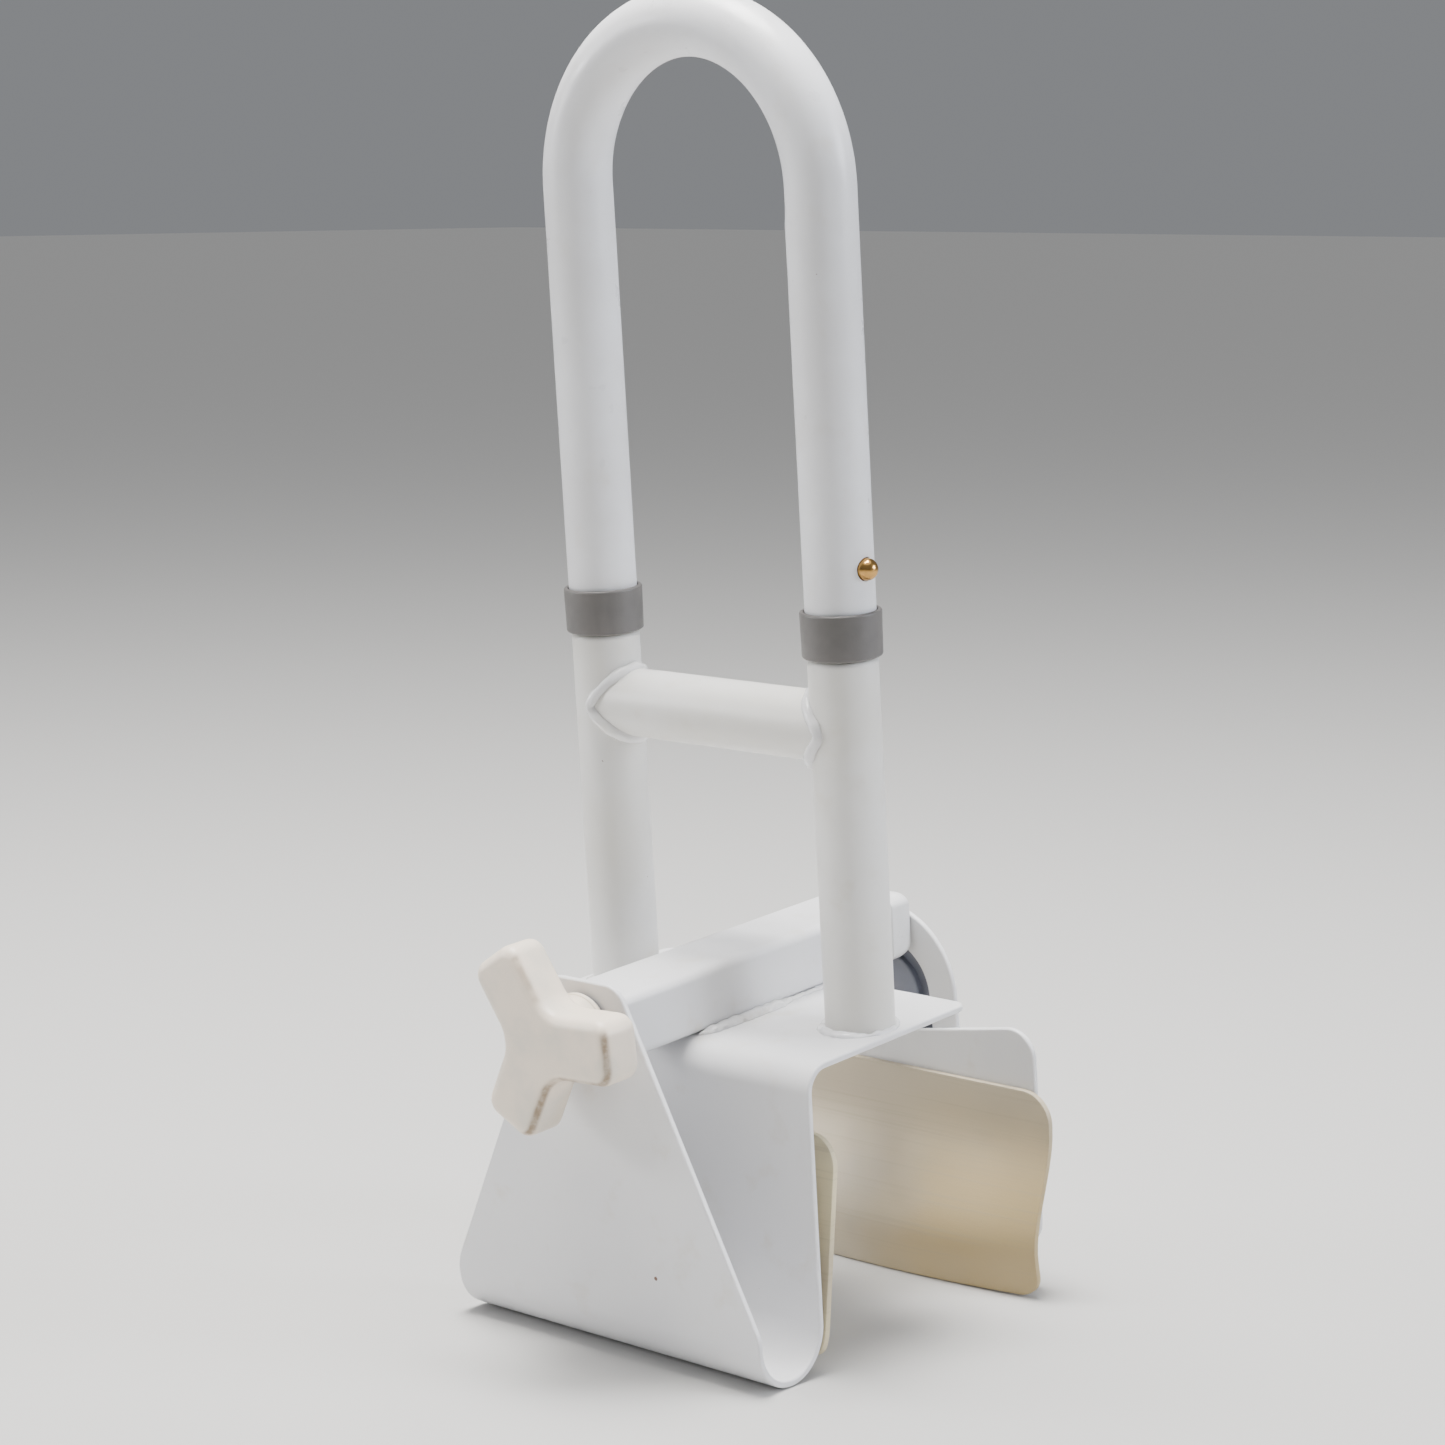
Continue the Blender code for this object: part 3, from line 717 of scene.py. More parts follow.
def swept(section: Sequence[Point], stations: Sequence[Matrix], closed: bool = False) -> bmesh.types.BMesh:
    """A skin through copies of a section.

    Args:
        section: the section's points.
        stations: where the copies go.
        closed: whether the last copy joins the first, or else both ends are capped.

    Returns:
        A new bmesh.
    """
    bm = bmesh.new()
    points = [bm.verts.new(stations[0] @ Vector((a, b, 0))) for a, b in section]
    first = [bm.edges.new((points[i - 1], points[i])) for i in range(len(points))]
    ring = first
    for here, there in zip(stations, stations[1:]):
        result = bmesh.ops.extrude_edge_only(bm, edges=ring)
        new = set(new_parts(result, bmesh.types.BMVert))
        ring = [e for e in new_parts(result, bmesh.types.BMEdge) if set(e.verts) <= new]
        bmesh.ops.transform(bm, matrix=there @ here.inverted(), verts=list(new))
    if closed:
        bmesh.ops.bridge_loops(bm, edges=first + ring)
    else:
        bmesh.ops.contextual_create(bm, geom=first)
        bmesh.ops.contextual_create(bm, geom=ring)
    return bm


CIRCLE_12 = arc((0, 0), 1.0, 0, 330, 11)
CIRCLE_64 = arc((0, 0), 1.0, 0, 354.375, 63)


def lumped(bm: bmesh.types.BMesh, amount: float, size: float) -> bmesh.types.BMesh:
    """Pushes a skin in and out by up to amount, in lumps about size across, and returns it.

    Args:
        bm: the shape.
        amount: how far a lump stands out.
        size: how wide a lump is.

    Returns:
        The same skin.
    """
    bmesh.ops.recalc_face_normals(bm, faces=bm.faces)
    bm.normal_update()
    for vertex in bm.verts:
        vertex.co += vertex.normal * amount * noise.noise(vertex.co / size)
    return bm


@dataclass(frozen=True)
class Run:
    """One run of a folded sheet's middle line: straight, or turning left by turn radians."""

    length: float
    turn: float = 0.0


@dataclass(frozen=True)
class FoldLine:
    """The middle line of a folded sheet in Y and Z, from a start and a heading through its runs."""

    start: Point
    heading: float
    runs: tuple[Run, ...]

    def at(self, distance: float) -> tuple[float, float, float]:
        """Y, Z and heading at a distance along the line.

        Args:
            distance: how far along the line.

        Returns:
            Y, Z and the heading there.
        """
        (y, z), heading = self.start, self.heading
        for index, run in enumerate(self.runs):
            last = index == len(self.runs) - 1
            step = distance if last else min(distance, run.length)
            if run.turn:
                radius = run.length / run.turn
                ahead = heading + step / radius
                y += radius * (math.sin(ahead) - math.sin(heading))
                z += radius * (math.cos(heading) - math.cos(ahead))
                heading = ahead
            else:
                y += step * math.cos(heading)
                z += step * math.sin(heading)
            distance -= step
            if distance <= 0:
                break
        return y, z, heading

    def length(self) -> float:
        """The length of the whole line."""
        return sum(run.length for run in self.runs)

    def folds(self, steps: int) -> list[float]:
        """The distances that need a row of vertices: the ends of each bend, and steps between them.

        Args:
            steps: the flats of a right-angled bend.

        Returns:
            The distances.
        """
        found, done = [], 0.0
        for run in self.runs:
            if run.turn:
                count = max(2, round(steps * abs(run.turn) / (math.pi / 2)))
                found += [done + run.length * i / count for i in range(count + 1)]
            done += run.length
        return found

    def fold(self, bm: bmesh.types.BMesh, steps: int = 12) -> bmesh.types.BMesh:
        """Folds a flat plate whose second axis runs along this line, and returns it.

        Args:
            bm: the flat plate.
            steps: the flats of a right-angled bend.

        Returns:
            The same plate.
        """
        sliced(bm, Axis.Y, self.folds(steps))

        def rule(v: Vector) -> Vector:
            """Takes a point of the flat plate to its place on the fold line."""
            y, z, heading = self.at(v.y)
            return Vector((v.x, y - v.z * math.sin(heading), z + v.z * math.cos(heading)))

        return moved(bm, rule)


# Pieces


def new_object(name: str, bm: bmesh.types.BMesh) -> bpy.types.Object:
    """Makes an object at the origin from a bmesh, with its faces pointing outwards.

    Args:
        name: the object's name.
        bm: the shape, which is freed.

    Returns:
        The new object.
    """
    bmesh.ops.recalc_face_normals(bm, faces=bm.faces)
    mesh = bpy.data.meshes.new(name)
    bm.to_mesh(mesh)
    bm.free()
    made = bpy.data.objects.new(name, mesh)
    bpy.context.scene.collection.objects.link(made)
    return made


def combined(piece: bpy.types.Object, other: bmesh.types.BMesh, operation: str = "DIFFERENCE") -> None:
    """Cuts another shape out of a piece, or joins it on, for good.

    Args:
        piece: the piece that is changed.
        other: the other shape, which is freed.
        operation: the Boolean modifier's operation.
    """
    tool = new_object("tool", other)
    step = piece.modifiers.new("tool", "BOOLEAN")
    step.operation, step.solver, step.object = operation, "EXACT", tool
    graph = bpy.context.evaluated_depsgraph_get()
    mesh = bpy.data.meshes.new_from_object(piece.evaluated_get(graph))
    old = piece.data
    piece.modifiers.clear()
    piece.data = mesh
    bpy.data.meshes.remove(old)
    bpy.data.objects.remove(tool, do_unlink=True)


def register(
    piece: bpy.types.Object,
    body: Body,
    finishes: Sequence[Finish],
    stands_for: str = "",
    flats: bool = True,
) -> bpy.types.Object:
    """Dresses a piece, rides it on a body of the frame and hides the frame node that it replaces.

    Args:
        piece: the finished piece.
        body: what it rides on.
        finishes: its finishes, in the order of its material numbers.
        stands_for: the frame node that it replaces, if any.
        flats: whether its flat faces keep an even shade up to their rounded edges.

    Returns:
        The piece.
    """
    piece.data.materials.clear()
    for finish in finishes:
        piece.data.materials.append(finish.material())
    piece.data.shade_smooth()
    piece.data.set_sharp_from_angle(angle=math.radians(38))
    if flats:
        even = piece.modifiers.new("even_flats", "WEIGHTED_NORMAL")
        even.keep_sharp = True
    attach(piece, body.value)
    if stands_for:
        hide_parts(stands_for)
    log.info("%s rides on %s, %d faces", piece.name, body.value, len(piece.data.polygons))
    return piece


@dataclass(frozen=True)
class TubeStock:
    """The round tube that the handle, the posts and the crossbar are cut from."""

    radius: float = 0.0127
    wall: float = 0.0016

    @property
    def bore(self) -> float:
        """The radius of the tube's inside."""
        return self.radius - self.wall


@dataclass
class FixedJaw:
    """The bent sheet that hooks over the bath, with its guide tube, end cap, pad and bearing."""

    sheet: float = 0.0025
    edge: float = 0.0008
    rim_corner: float = 0.005
    rim_bend: float = 0.010
    loop: float = 0.0176
    taper_start: float = 0.0044  # above the centre of the U-bend
    taper_blend: float = 0.012
    top_half: float = 0.0163
    top_corner: float = 0.009
    bearing: float = 0.0062
    guide_corner: float = 0.0035
    guide_wall: float = 0.0016
    cap_dome: float = 0.0085
    cap_inset: float = 0.0030
    pad: float = 0.0026
    pad_corner: float = 0.012
    pad_wrap: float = math.radians(38)
    pad_lean: float = math.radians(8.5)

    def build(self) -> None:
        """Builds every piece of the fixed jaw."""
        self.make_sheet()
        self.make_guide()
        self.make_cap()
        self.make_pad()
        self.make_bearing()

    def line(self) -> FoldLine:
        """The middle line of the bent sheet, from the rim plate's rear end to the front plate's top.

        Returns:
            The line.
        """
        box = Extent.of("fixed_jaw")
        half = self.sheet / 2
        bend = self.rim_bend - half
        turn = self.loop - half
        upright_y = box.low.y + 2 * self.loop - self.sheet
        loop_z = box.low.z + self.loop
        return FoldLine(
            (box.high.y, half),
            math.pi,
            (
                Run(box.high.y - upright_y - self.rim_bend),
                Run(bend * math.pi / 2, math.pi / 2),
                Run(self.sheet - self.rim_bend - loop_z),
                Run(turn * math.pi, -math.pi),
                Run(box.high.z - loop_z),
            ),
        )

    def blank(self, line: FoldLine) -> list[Point]:
        """The outline of the flat sheet before it is bent, in X and in distance along its middle line.

        Args:
            line: the line that the sheet is folded along.

        Returns:
            The points, round the outline.
        """
        box = Extent.of("fixed_jaw")
        half, end = box.high.x, line.length()
        taper = end - (box.high.z - box.low.z - self.loop) + self.taper_start
        lean = math.atan2(end - taper, half - self.top_half)
        blend = self.taper_blend * math.tan((math.pi / 2 - lean) / 2)
        right = arc((half - self.rim_corner, self.rim_corner), self.rim_corner, -90, 0, 6)
        side = math.degrees(math.pi / 2 - lean)
        right += arc((half - self.taper_blend, taper - blend), self.taper_blend, 0, side, 4)
        inset = self.top_corner * math.tan(lean / 2)
        right += arc((self.top_half - inset, end - self.top_corner), self.top_corner, side, 90, 8)
        return mirrored(right)

    def make_sheet(self) -> None:
        """Rim plate, upright plate, U-bend and front plate, from one sheet."""
        line = self.line()
        bm = plate(self.blank(line), self.sheet, self.edge, 4)
        piece = new_object("bent_jaw_sheet", line.fold(bm, 14))
        box = Extent.of("fixed_jaw")
        axis_z = Extent.of("clamp_screw").centre.z
        hole = turned(rod(self.bearing + GAP, -self.sheet, 2 * self.sheet), closed=False)
        combined(piece, placed(along_y(hole, axis_z), Matrix.Translation((0, box.low.y, 0))))
        register(piece, Body.FRAME, [SHEET_PAINT], "fixed_jaw")

    def make_guide(self) -> None:
        """The rectangular guide tube on the rim plate."""
        box = Extent.of("guide_tube")
        piece = new_object("guide_box_tube", box_tube(box, self.guide_corner, self.guide_wall))
        register(piece, Body.FRAME, [SHEET_PAINT], "guide_tube")

    def make_cap(self) -> None:
        """The domed plastic cap on the guide tube's rear end, with the way for the slider through it."""
        box = Extent.of("guide_tube_bush")
        guide = Extent.of("guide_tube")
        width, height = box.size.x / 2, box.size.z / 2
        corner = self.guide_corner / guide.size.x * 2
        section = rounded_rectangle(2, 2, corner * 1.6, 8)
        steps = 10
        shapes = [(0.0, 0.0006), (0.0006, 0.0)]
        for i in range(steps + 1):
            turn = math.pi / 2 * i / steps
            reach = box.size.y - self.cap_dome + self.cap_dome * math.sin(turn)
            shapes.append((reach, self.cap_inset * (1 - math.cos(turn))))
        middle = Vector((0, 0, box.centre.z))
        stations = []
        for reach, inset in shapes:
            at = middle + Vector((0, box.low.y + reach, 0))
            stations.append(station(at, AHEAD, UP, width - inset, height - inset))
        piece = new_object("domed_guide_cap", swept(section, stations))
        slider = Extent.of("slider_tube")
        way = rounded_rectangle(slider.size.x + 4 * GAP, slider.size.z + 4 * GAP, 0.002)
        long = 2 * box.size.y
        combined(piece, moved(plate(way, long, 0.0001, 1), self.across(box.centre)))
        seat = rounded_rectangle(guide.size.x + 2 * GAP, guide.size.z + 2 * GAP, self.guide_corner)
        deep = 2 * (guide.high.y - box.low.y + GAP)
        start = Vector((0, box.low.y, box.centre.z))
        combined(piece, moved(plate(seat, deep, 0.0001, 1), self.across(start)))
        register(piece, Body.FRAME, [WHITE_NYLON], "guide_tube_bush")

    @staticmethod
    def across(middle: Vector) -> Callable[[Vector], Vector]:
        """A rule that turns a plate to run along Y, centred on a point."""
        return lambda v: Vector((v.x, middle.y + v.z, middle.z + v.y))

    def make_pad(self) -> None:
        """The vinyl pad that wraps round the U-bend and then leans away from the upright plate."""
        box = Extent.of("fixed_jaw_pad")
        jaw = Extent.of("fixed_jaw")
        radius = self.loop + GAP + self.pad / 2
        loop_y, loop_z = jaw.low.y + self.loop, jaw.low.z + self.loop
        turn = self.pad_wrap
        start = (loop_y + radius * math.cos(turn), loop_z - radius * math.sin(turn))
        bend = turn - self.pad_lean
        rise = (box.high.z - loop_z) / math.cos(self.pad_lean) + radius * math.sin(self.pad_lean)
        line = FoldLine(start, math.pi / 2 - turn, (Run(radius * bend, bend), Run(rise - GAP)))
        half, end = box.high.x, line.length()
        low_corner = 0.004
        right = arc((half - low_corner, low_corner), low_corner, -90, 0, 4)
        right += arc((half - self.pad_corner, end - self.pad_corner), self.pad_corner, 0, 90, 10)
        piece = new_object("fixed_pad_sheet", line.fold(pad_plate(mirrored(right), self.pad), 12))
        register(piece, Body.FRAME, [FIXED_VINYL, CUT_VINYL], "fixed_jaw_pad")

    def make_bearing(self) -> None:
        """The flanged nylon bush that the screw turns in."""
        box = Extent.of("bearing_bush")
        inner = Extent.of("clamp_screw").size.x / 2 + GAP
        flange = box.high.y - 0.001
        profile = [(inner, box.low.y), (self.bearing, box.low.y), (self.bearing, flange)]
        r, back, ease = box.high.x, box.high.y, 0.0003
        profile += [(r - ease, flange), (r, flange + ease), (r, back - ease), (r - ease, back), (inner, back)]
        piece = new_object("screw_bearing", along_y(turned(profile), box.centre.z))
        register(piece, Body.FRAME, [WHITE_NYLON], "bearing_bush")


def pad_plate(outline: Sequence[Point], thickness: float) -> bmesh.types.BMesh:
    """A plate of vinyl whose edge faces have material number 1.

    Args:
        outline: its outline.
        thickness: its thickness.

    Returns:
        A new bmesh.
    """
    bm = plate(outline, thickness, 0.0005, 2)
    bm.normal_update()
    for face in bm.faces:
        face.material_index = int(abs(face.normal.z) < 0.95)
    return bm


def box_tube(box: Extent, corner: float, wall: float) -> bmesh.types.BMesh:
    """A rectangular tube along Y that fills a box, with rounded corners and slightly rounded ends.

    Args:
        box: the box that it fills.
        corner: the outside corners' radius.
        wall: the wall's thickness.

    Returns:
        A new bmesh.
    """
    width, height = box.size.x, box.size.z
    section = [(2 * a / width, 2 * b / height) for a, b in rounded_rectangle(width, height, corner, 8)]
    ease = 0.0004
    stations = []
    low, high = box.low.y, box.high.y
    outer = ((low, ease), (low + ease * 0.3, ease * 0.3), (low + ease, 0.0))
    outer += tuple((low + high - y, inset) for y, inset in reversed(outer))
    for y, inset in outer + ((high, wall), (low, wall)):
        at = Vector((box.centre.x, y, box.centre.z))
        stations.append(station(at, AHEAD, UP, width / 2 - inset, height / 2 - inset))
    return swept(section, stations, closed=True)


@dataclass
class Uprights:
    """Both posts with their spigots and collars, and the crossbar between them."""

    tube: TubeStock = TubeStock()
    shoulder: float = 0.0022
    neck: float = 0.0112
    collar_edge: float = 0.0009
    button_hole: float = 0.0043

    def build(self) -> None:
        """Builds both posts, spigots and collars, and the crossbar."""
        for side in ("left", "right"):
            self.make_post(side)
            self.make_spigot(side)
            self.make_collar(side)
        self.make_crossbar()

    def make_post(self, side: str) -> None:
        """A post whose top is swaged in to a neck under its collar.

        Args:
            side: "left" or "right".
        """
        box = Extent.of(f"{side}_post")
        collar = Extent.of(f"{side}_collar")
        top = collar.low.z - GAP
        r = self.tube.radius
        shoulder = arc((r - self.shoulder, top - self.shoulder), self.shoulder, 0, 80, 8)
        profile = [(self.tube.bore, box.low.z), (r, box.low.z), (r, box.low.z + 0.004)]
        inner = self.neck - 0.0004
        profile += shoulder + [(self.neck, top + 0.0004), (self.neck, box.high.z)]
        profile += [(inner, box.high.z), (inner, top), (self.tube.bore, top - 0.004)]
        bm = turned(profile, 64)
        piece = new_object(f"{side}_post_tube", placed(bm, Matrix.Translation((box.centre.x, 0, 0))))
        register(piece, Body.FRAME, [POST_PAINT], f"{side}_post")

    def make_spigot(self, side: str) -> None:
        """The plated tube inside the joint.

        Args:
            side: "left" or "right".
        """
        box = Extent.of(f"{side}_spigot")
        r = box.size.x / 2
        profile = eased_ring(r - self.tube.wall, r, box.low.z, box.high.z, 0.0006)
        bm = placed(turned(profile, 64), Matrix.Translation((box.centre.x, 0, 0)))
        piece = new_object(f"{side}_spigot_tube", bm)
        if side == "right":
            combined(piece, button_drill(self.button_hole))
        register(piece, Body.FRAME, [ZINC], f"{side}_spigot")

    def make_collar(self, side: str) -> None:
        """The plastic collar over the joint, with a soft lower edge and a chamfered upper one.

        Args:
            side: "left" or "right".
        """
        box = Extent.of(f"{side}_collar")
        handle = Extent.of("hoop")
        r, seat, edge = box.size.x / 2, self.tube.radius + GAP, self.collar_edge
        lip = self.neck + 2 * GAP
        ledge = handle.low.z - GAP
        profile = [(lip, box.low.z + edge / 2), (lip + edge / 2, box.low.z)]
        profile += arc((r - edge - 0.00025, box.low.z + edge), edge, -90, 0, 5)
        profile += arc((r - edge, box.high.z - edge), edge, 0, 70, 4)
        profile += [(seat + 0.0003, box.high.z), (seat, box.high.z - 0.0004), (seat, ledge), (lip, ledge)]
        bm = placed(turned(profile, 64), Matrix.Translation((box.centre.x, 0, 0)))
        register(new_object(f"{side}_joint_collar", bm), Body.FRAME, [COLLAR_GREY], f"{side}_collar")

    def make_crossbar(self) -> None:
        """The crossbar, with its ends hollowed to fit the posts."""
        box = Extent.of("crossbar")
        leg = Extent.of("right_post").centre.x
        r = self.tube.radius
        places = [-1.0] + evenly(-1.0, 1.0, 0.08) + [1.0]
        ways = [(x, r) for x in places] + [(x, self.tube.bore) for x in reversed(places)]
        ahead, up = Vector((1, 0, 0)), UP
        stations = [station(Vector((x, 0, box.centre.z)), ahead, up, radius) for x, radius in ways]

        def cope(v: Vector) -> Vector:
            """Stretches the tube to the posts, whose round sides its ends follow."""
            mouth = leg - math.sqrt(max((r + GAP) ** 2 - v.y**2, 0.001**2))
            return Vector((v.x * mouth, v.y, v.z))

        piece = new_object("crossbar_tube", moved(swept(CIRCLE_64, stations, closed=True), cope))
        register(piece, Body.FRAME, [POST_PAINT], "crossbar")


def button_drill(radius: float) -> bmesh.types.BMesh:
    """The drill that makes the snap button's hole, along X.

    Args:
        radius: the hole's radius.

    Returns:
        A new bmesh.
    """
    box = Extent.of("snap_button")
    bm = turned(rod(radius, 0, 0.02), closed=False)
    turn = Matrix.Rotation(math.pi / 2, 4, "Y")
    return placed(bm, Matrix.Translation((box.low.x - 0.002, box.centre.y, box.centre.z)) @ turn)


@dataclass
class WeldBeads:
    """The painted weld beads that hold the fixed frame together."""

    tube: TubeStock = TubeStock()
    sheet: float = 0.0025
    foot_wide: float = 0.0014
    foot_high: float = 0.0009
    joint: float = 0.0021
    seam_wide: float = 0.0024
    seam_high: float = 0.0016
    seam_start: float = -0.0395
    seam_short: float = 0.035  # from the paint line's end to the guide tube's
    seam_middle: float = -0.014
    seam_reach: float = 0.022  # from the middle of the thick part to where it thins

    def build(self) -> None:
        """Builds the beads at the posts' feet, the crossbar's ends and the guide tube."""
        for side in ("left", "right"):
            self.make_foot(side)
            self.make_joint(side)
        self.make_seam("right", 1)
        self.make_seam("left", -1)

    def make_foot(self, side: str) -> None:
        """The bead round the foot of a post.

        Args:
            side: "left" or "right".
        """
        post = Extent.of(f"{side}_post")
        stations = []
        count = 72
        for i in range(count):
            turn = math.tau * i / count
            out = Vector((math.cos(turn), math.sin(turn), 0))
            along = Vector((-out.y, out.x, 0))
            front = max(0.0, -out.y) ** 2
            swell = 1 + 0.9 * front + 0.5 * noise.noise(out * 2.2 + Vector((post.centre.x * 90, 0, 0)))
            at = Vector((post.centre.x, 0, self.sheet)) + out * (self.tube.radius + 0.0004 + 0.0012 * front)
            stations.append(station(at, along, UP, self.foot_wide * swell, self.foot_high * swell))
        bm = lumped(swept(CIRCLE_12, stations, closed=True), 0.0007, 0.0022)
        register(new_object(f"{side}_foot_weld", bm), Body.FRAME, [WELD_PAINT], flats=False)

    def make_joint(self, side: str) -> None:
        """The bead where the crossbar meets a post, thickest at its lowest point.

        Args:
            side: "left" or "right".
        """
        post = Extent.of(f"{side}_post")
        bar = Extent.of("crossbar")
        sign = 1 if post.centre.x > 0 else -1
        r = self.tube.radius + 0.0003
        count = 96
        points = []
        for i in range(count):
            turn = math.tau * i / count
            y, z = r * math.cos(turn), r * math.sin(turn)
            reach = math.sqrt(r * r - y * y + 0.0022**2)
            points.append(Vector((post.centre.x - sign * reach, y, bar.centre.z + z)))
        stations = []
        for i, at in enumerate(points):
            along = points[(i + 1) % count] - points[i - 1]
            low = max(0.0, -math.sin(math.tau * i / count))
            swell = 1 + 0.3 * low + 0.25 * noise.noise(at / 0.006)
            out = at - Vector((post.centre.x, 0, bar.centre.z))
            stations.append(station(at, along, out, self.joint * swell))
        bm = lumped(swept(CIRCLE_12, stations, closed=True), 0.0005, 0.0035)
        register(new_object(f"{side}_crossbar_weld", bm), Body.FRAME, [WELD_PAINT], flats=False)

    def make_seam(self, side: str, sign: int) -> None:
        """The seam along one side of the guide tube: a weld bead in front, and a line of paint behind.

        Args:
            side: "left" or "right".
            sign: 1 on the right and -1 on the left.
        """
        guide = Extent.of("guide_tube")
        start, end = self.seam_start, guide.high.y - self.seam_short
        count = 120
        stations = []
        for i in range(count + 1):
            share = i / count
            y = start + (end - start) * share
            weld = math.exp(-(((y - self.seam_middle) / self.seam_reach) ** 8))
            swell = 0.55 + weld * (0.75 + 0.4 * noise.noise(Vector((y / 0.004, sign, 0))))
            end_round = math.sqrt(max(1 - (2 * share - 1) ** 40, 0.02))
            at = Vector((sign * (guide.high.x - 0.0004 + 0.0008 * weld), y, self.sheet + 0.0003))
            wide, high = self.seam_wide * swell * end_round, self.seam_high * swell * end_round
            stations.append(station(at, AHEAD, UP, wide, high))
        bm = lumped(swept(CIRCLE_12, stations), 0.0007, 0.0019)
        register(new_object(f"{side}_guide_weld", bm), Body.FRAME, [WELD_PAINT], flats=False)


@dataclass
class Handle:
    """The bent handle, with the snap button and spring that lock it to its right spigot."""

    tube: TubeStock = TubeStock()
    hole: float = 0.0043
    flattening: float = 0.0009
    strip: float = 0.0008
    press: float = 0.006
    wrinkle_drop: float = 0.0125
    wrinkle_height: float = 0.0022
    leg_step: float = 0.006
    bend_steps: int = 72

    def build(self) -> None:
        """Builds the handle, its button and its spring."""
        self.make_hoop()
        self.make_button()
        self.make_spring()

    def make_hoop(self) -> None:
        """The handle's tube, flattened a little inside its bend, with a wrinkle where the bend ends."""
        box = Extent.of("hoop")
        r, bore = self.tube.radius, self.tube.bore
        leg = box.high.x - r
        bend_z = box.high.z - r - leg
        low = box.low.z
        path: list[tuple[Vector, Vector, float]] = []
        ease = 0.0005
        legs = [(low, ease), (low + 0.3 * ease, 0.3 * ease), (low + ease, 0.0)]
        legs += [(z, 0.0) for z in evenly(low + ease, bend_z, self.leg_step)]
        for z, inset in legs:
            path.append((Vector((-leg, 0, z)), UP, inset))
        for i in range(self.bend_steps + 1):
            turn = math.pi * i / self.bend_steps
            out = Vector((-math.cos(turn), 0, math.sin(turn)))
            path.append((Vector((0, 0, bend_z)) + out * leg, Vector((out.z, 0, -out.x)), 0.0))
        for z, inset in reversed(legs):
            path.append((Vector((leg, 0, z)), Vector((0, 0, -1)), inset))
        up = Vector((0, -1, 0))
        outer = [station(at, along, up, r - inset) for at, along, inset in path]
        inner = [station(at, along, up, bore) for at, along, inset in reversed(path)]
        bm = swept(CIRCLE_64, outer + inner, closed=True)
        wrinkle_z = bend_z - self.wrinkle_drop

        def flatten(v: Vector) -> Vector:
            """Pushes the inner side of the bend outwards, and its right end back in at the wrinkle.

            Args:
                v: where the point is.

            Returns:
                Where it goes.
            """
            middle = Vector((math.copysign(leg, v.x), 0, v.z))
            inwards = Vector((-math.copysign(1, v.x), 0, 0))
            if v.z > bend_z:
                away = Vector((v.x, 0, v.z - bend_z)).normalized()
                middle = Vector((0, 0, bend_z)) + away * leg
                inwards = -away
            inner_side = max(0.0, (v - middle).dot(inwards) / r)
            start = wrinkle_z if v.x > 0 else bend_z - 0.004
            length = 0.0035 if v.x > 0 else 0.02
            share = smooth((v.z - start) / length)
            off = (v.z - wrinkle_z + 0.001) / self.wrinkle_height
            crease = 0.45 * math.exp(-(off**2)) if v.x > 0 else 0.0
            return v - inwards * self.flattening * (share - crease) * inner_side**3

        piece = new_object("bent_handle", moved(bm, flatten))
        combined(piece, button_drill(self.hole))
        register(piece, Body.HOOP, [HANDLE_PAINT], "hoop", flats=False)

    def make_button(self) -> None:
        """The brass snap button: a pin with a ball end and a small collar inside the tube."""
        box = Extent.of("snap_button")
        r, long = box.size.z / 2, box.size.x
        profile = [(0, 0), (r - 0.0003, 0), (r, 0.0003)]
        profile += arc((0, long - r), r, 0, 90, 14)
        profile[-1] = (0, long)
        turn = Matrix.Rotation(math.pi / 2, 4, "Y")
        bm = placed(turned(profile, closed=False), Matrix.Translation((box.low.x, 0, box.centre.z)) @ turn)
        register(new_object("brass_snap_button", bm), Body.BUTTON, [BRASS], "snap_button", flats=False)

    def make_spring(self) -> None:
        """The U-shaped strip that pushes the button out; the real strip closes as the button goes in, but
        this one keeps one shape.
        """
        box = Extent.of("snap_spring")
        half = box.size.x / 2
        middle = box.centre.x
        low = box.low.z + half
        outer = [(-half, box.high.z - 0.004)] + arc((0, low), half, 180, 360, 16) + [(half, box.high.z)]
        thin = half - self.strip
        inner = [(thin, box.high.z)] + arc((0, low), thin, 360, 180, 16) + [(-thin, box.high.z - 0.004)]
        bm = upright(plate(outer + inner, box.size.y, 0.0002, 2), 0)
        piece = new_object("spring_strip", placed(bm, Matrix.Translation((middle, 0, 0))))
        register(piece, Body.FRAME, [SPRING], "snap_spring")
        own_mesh(piece)


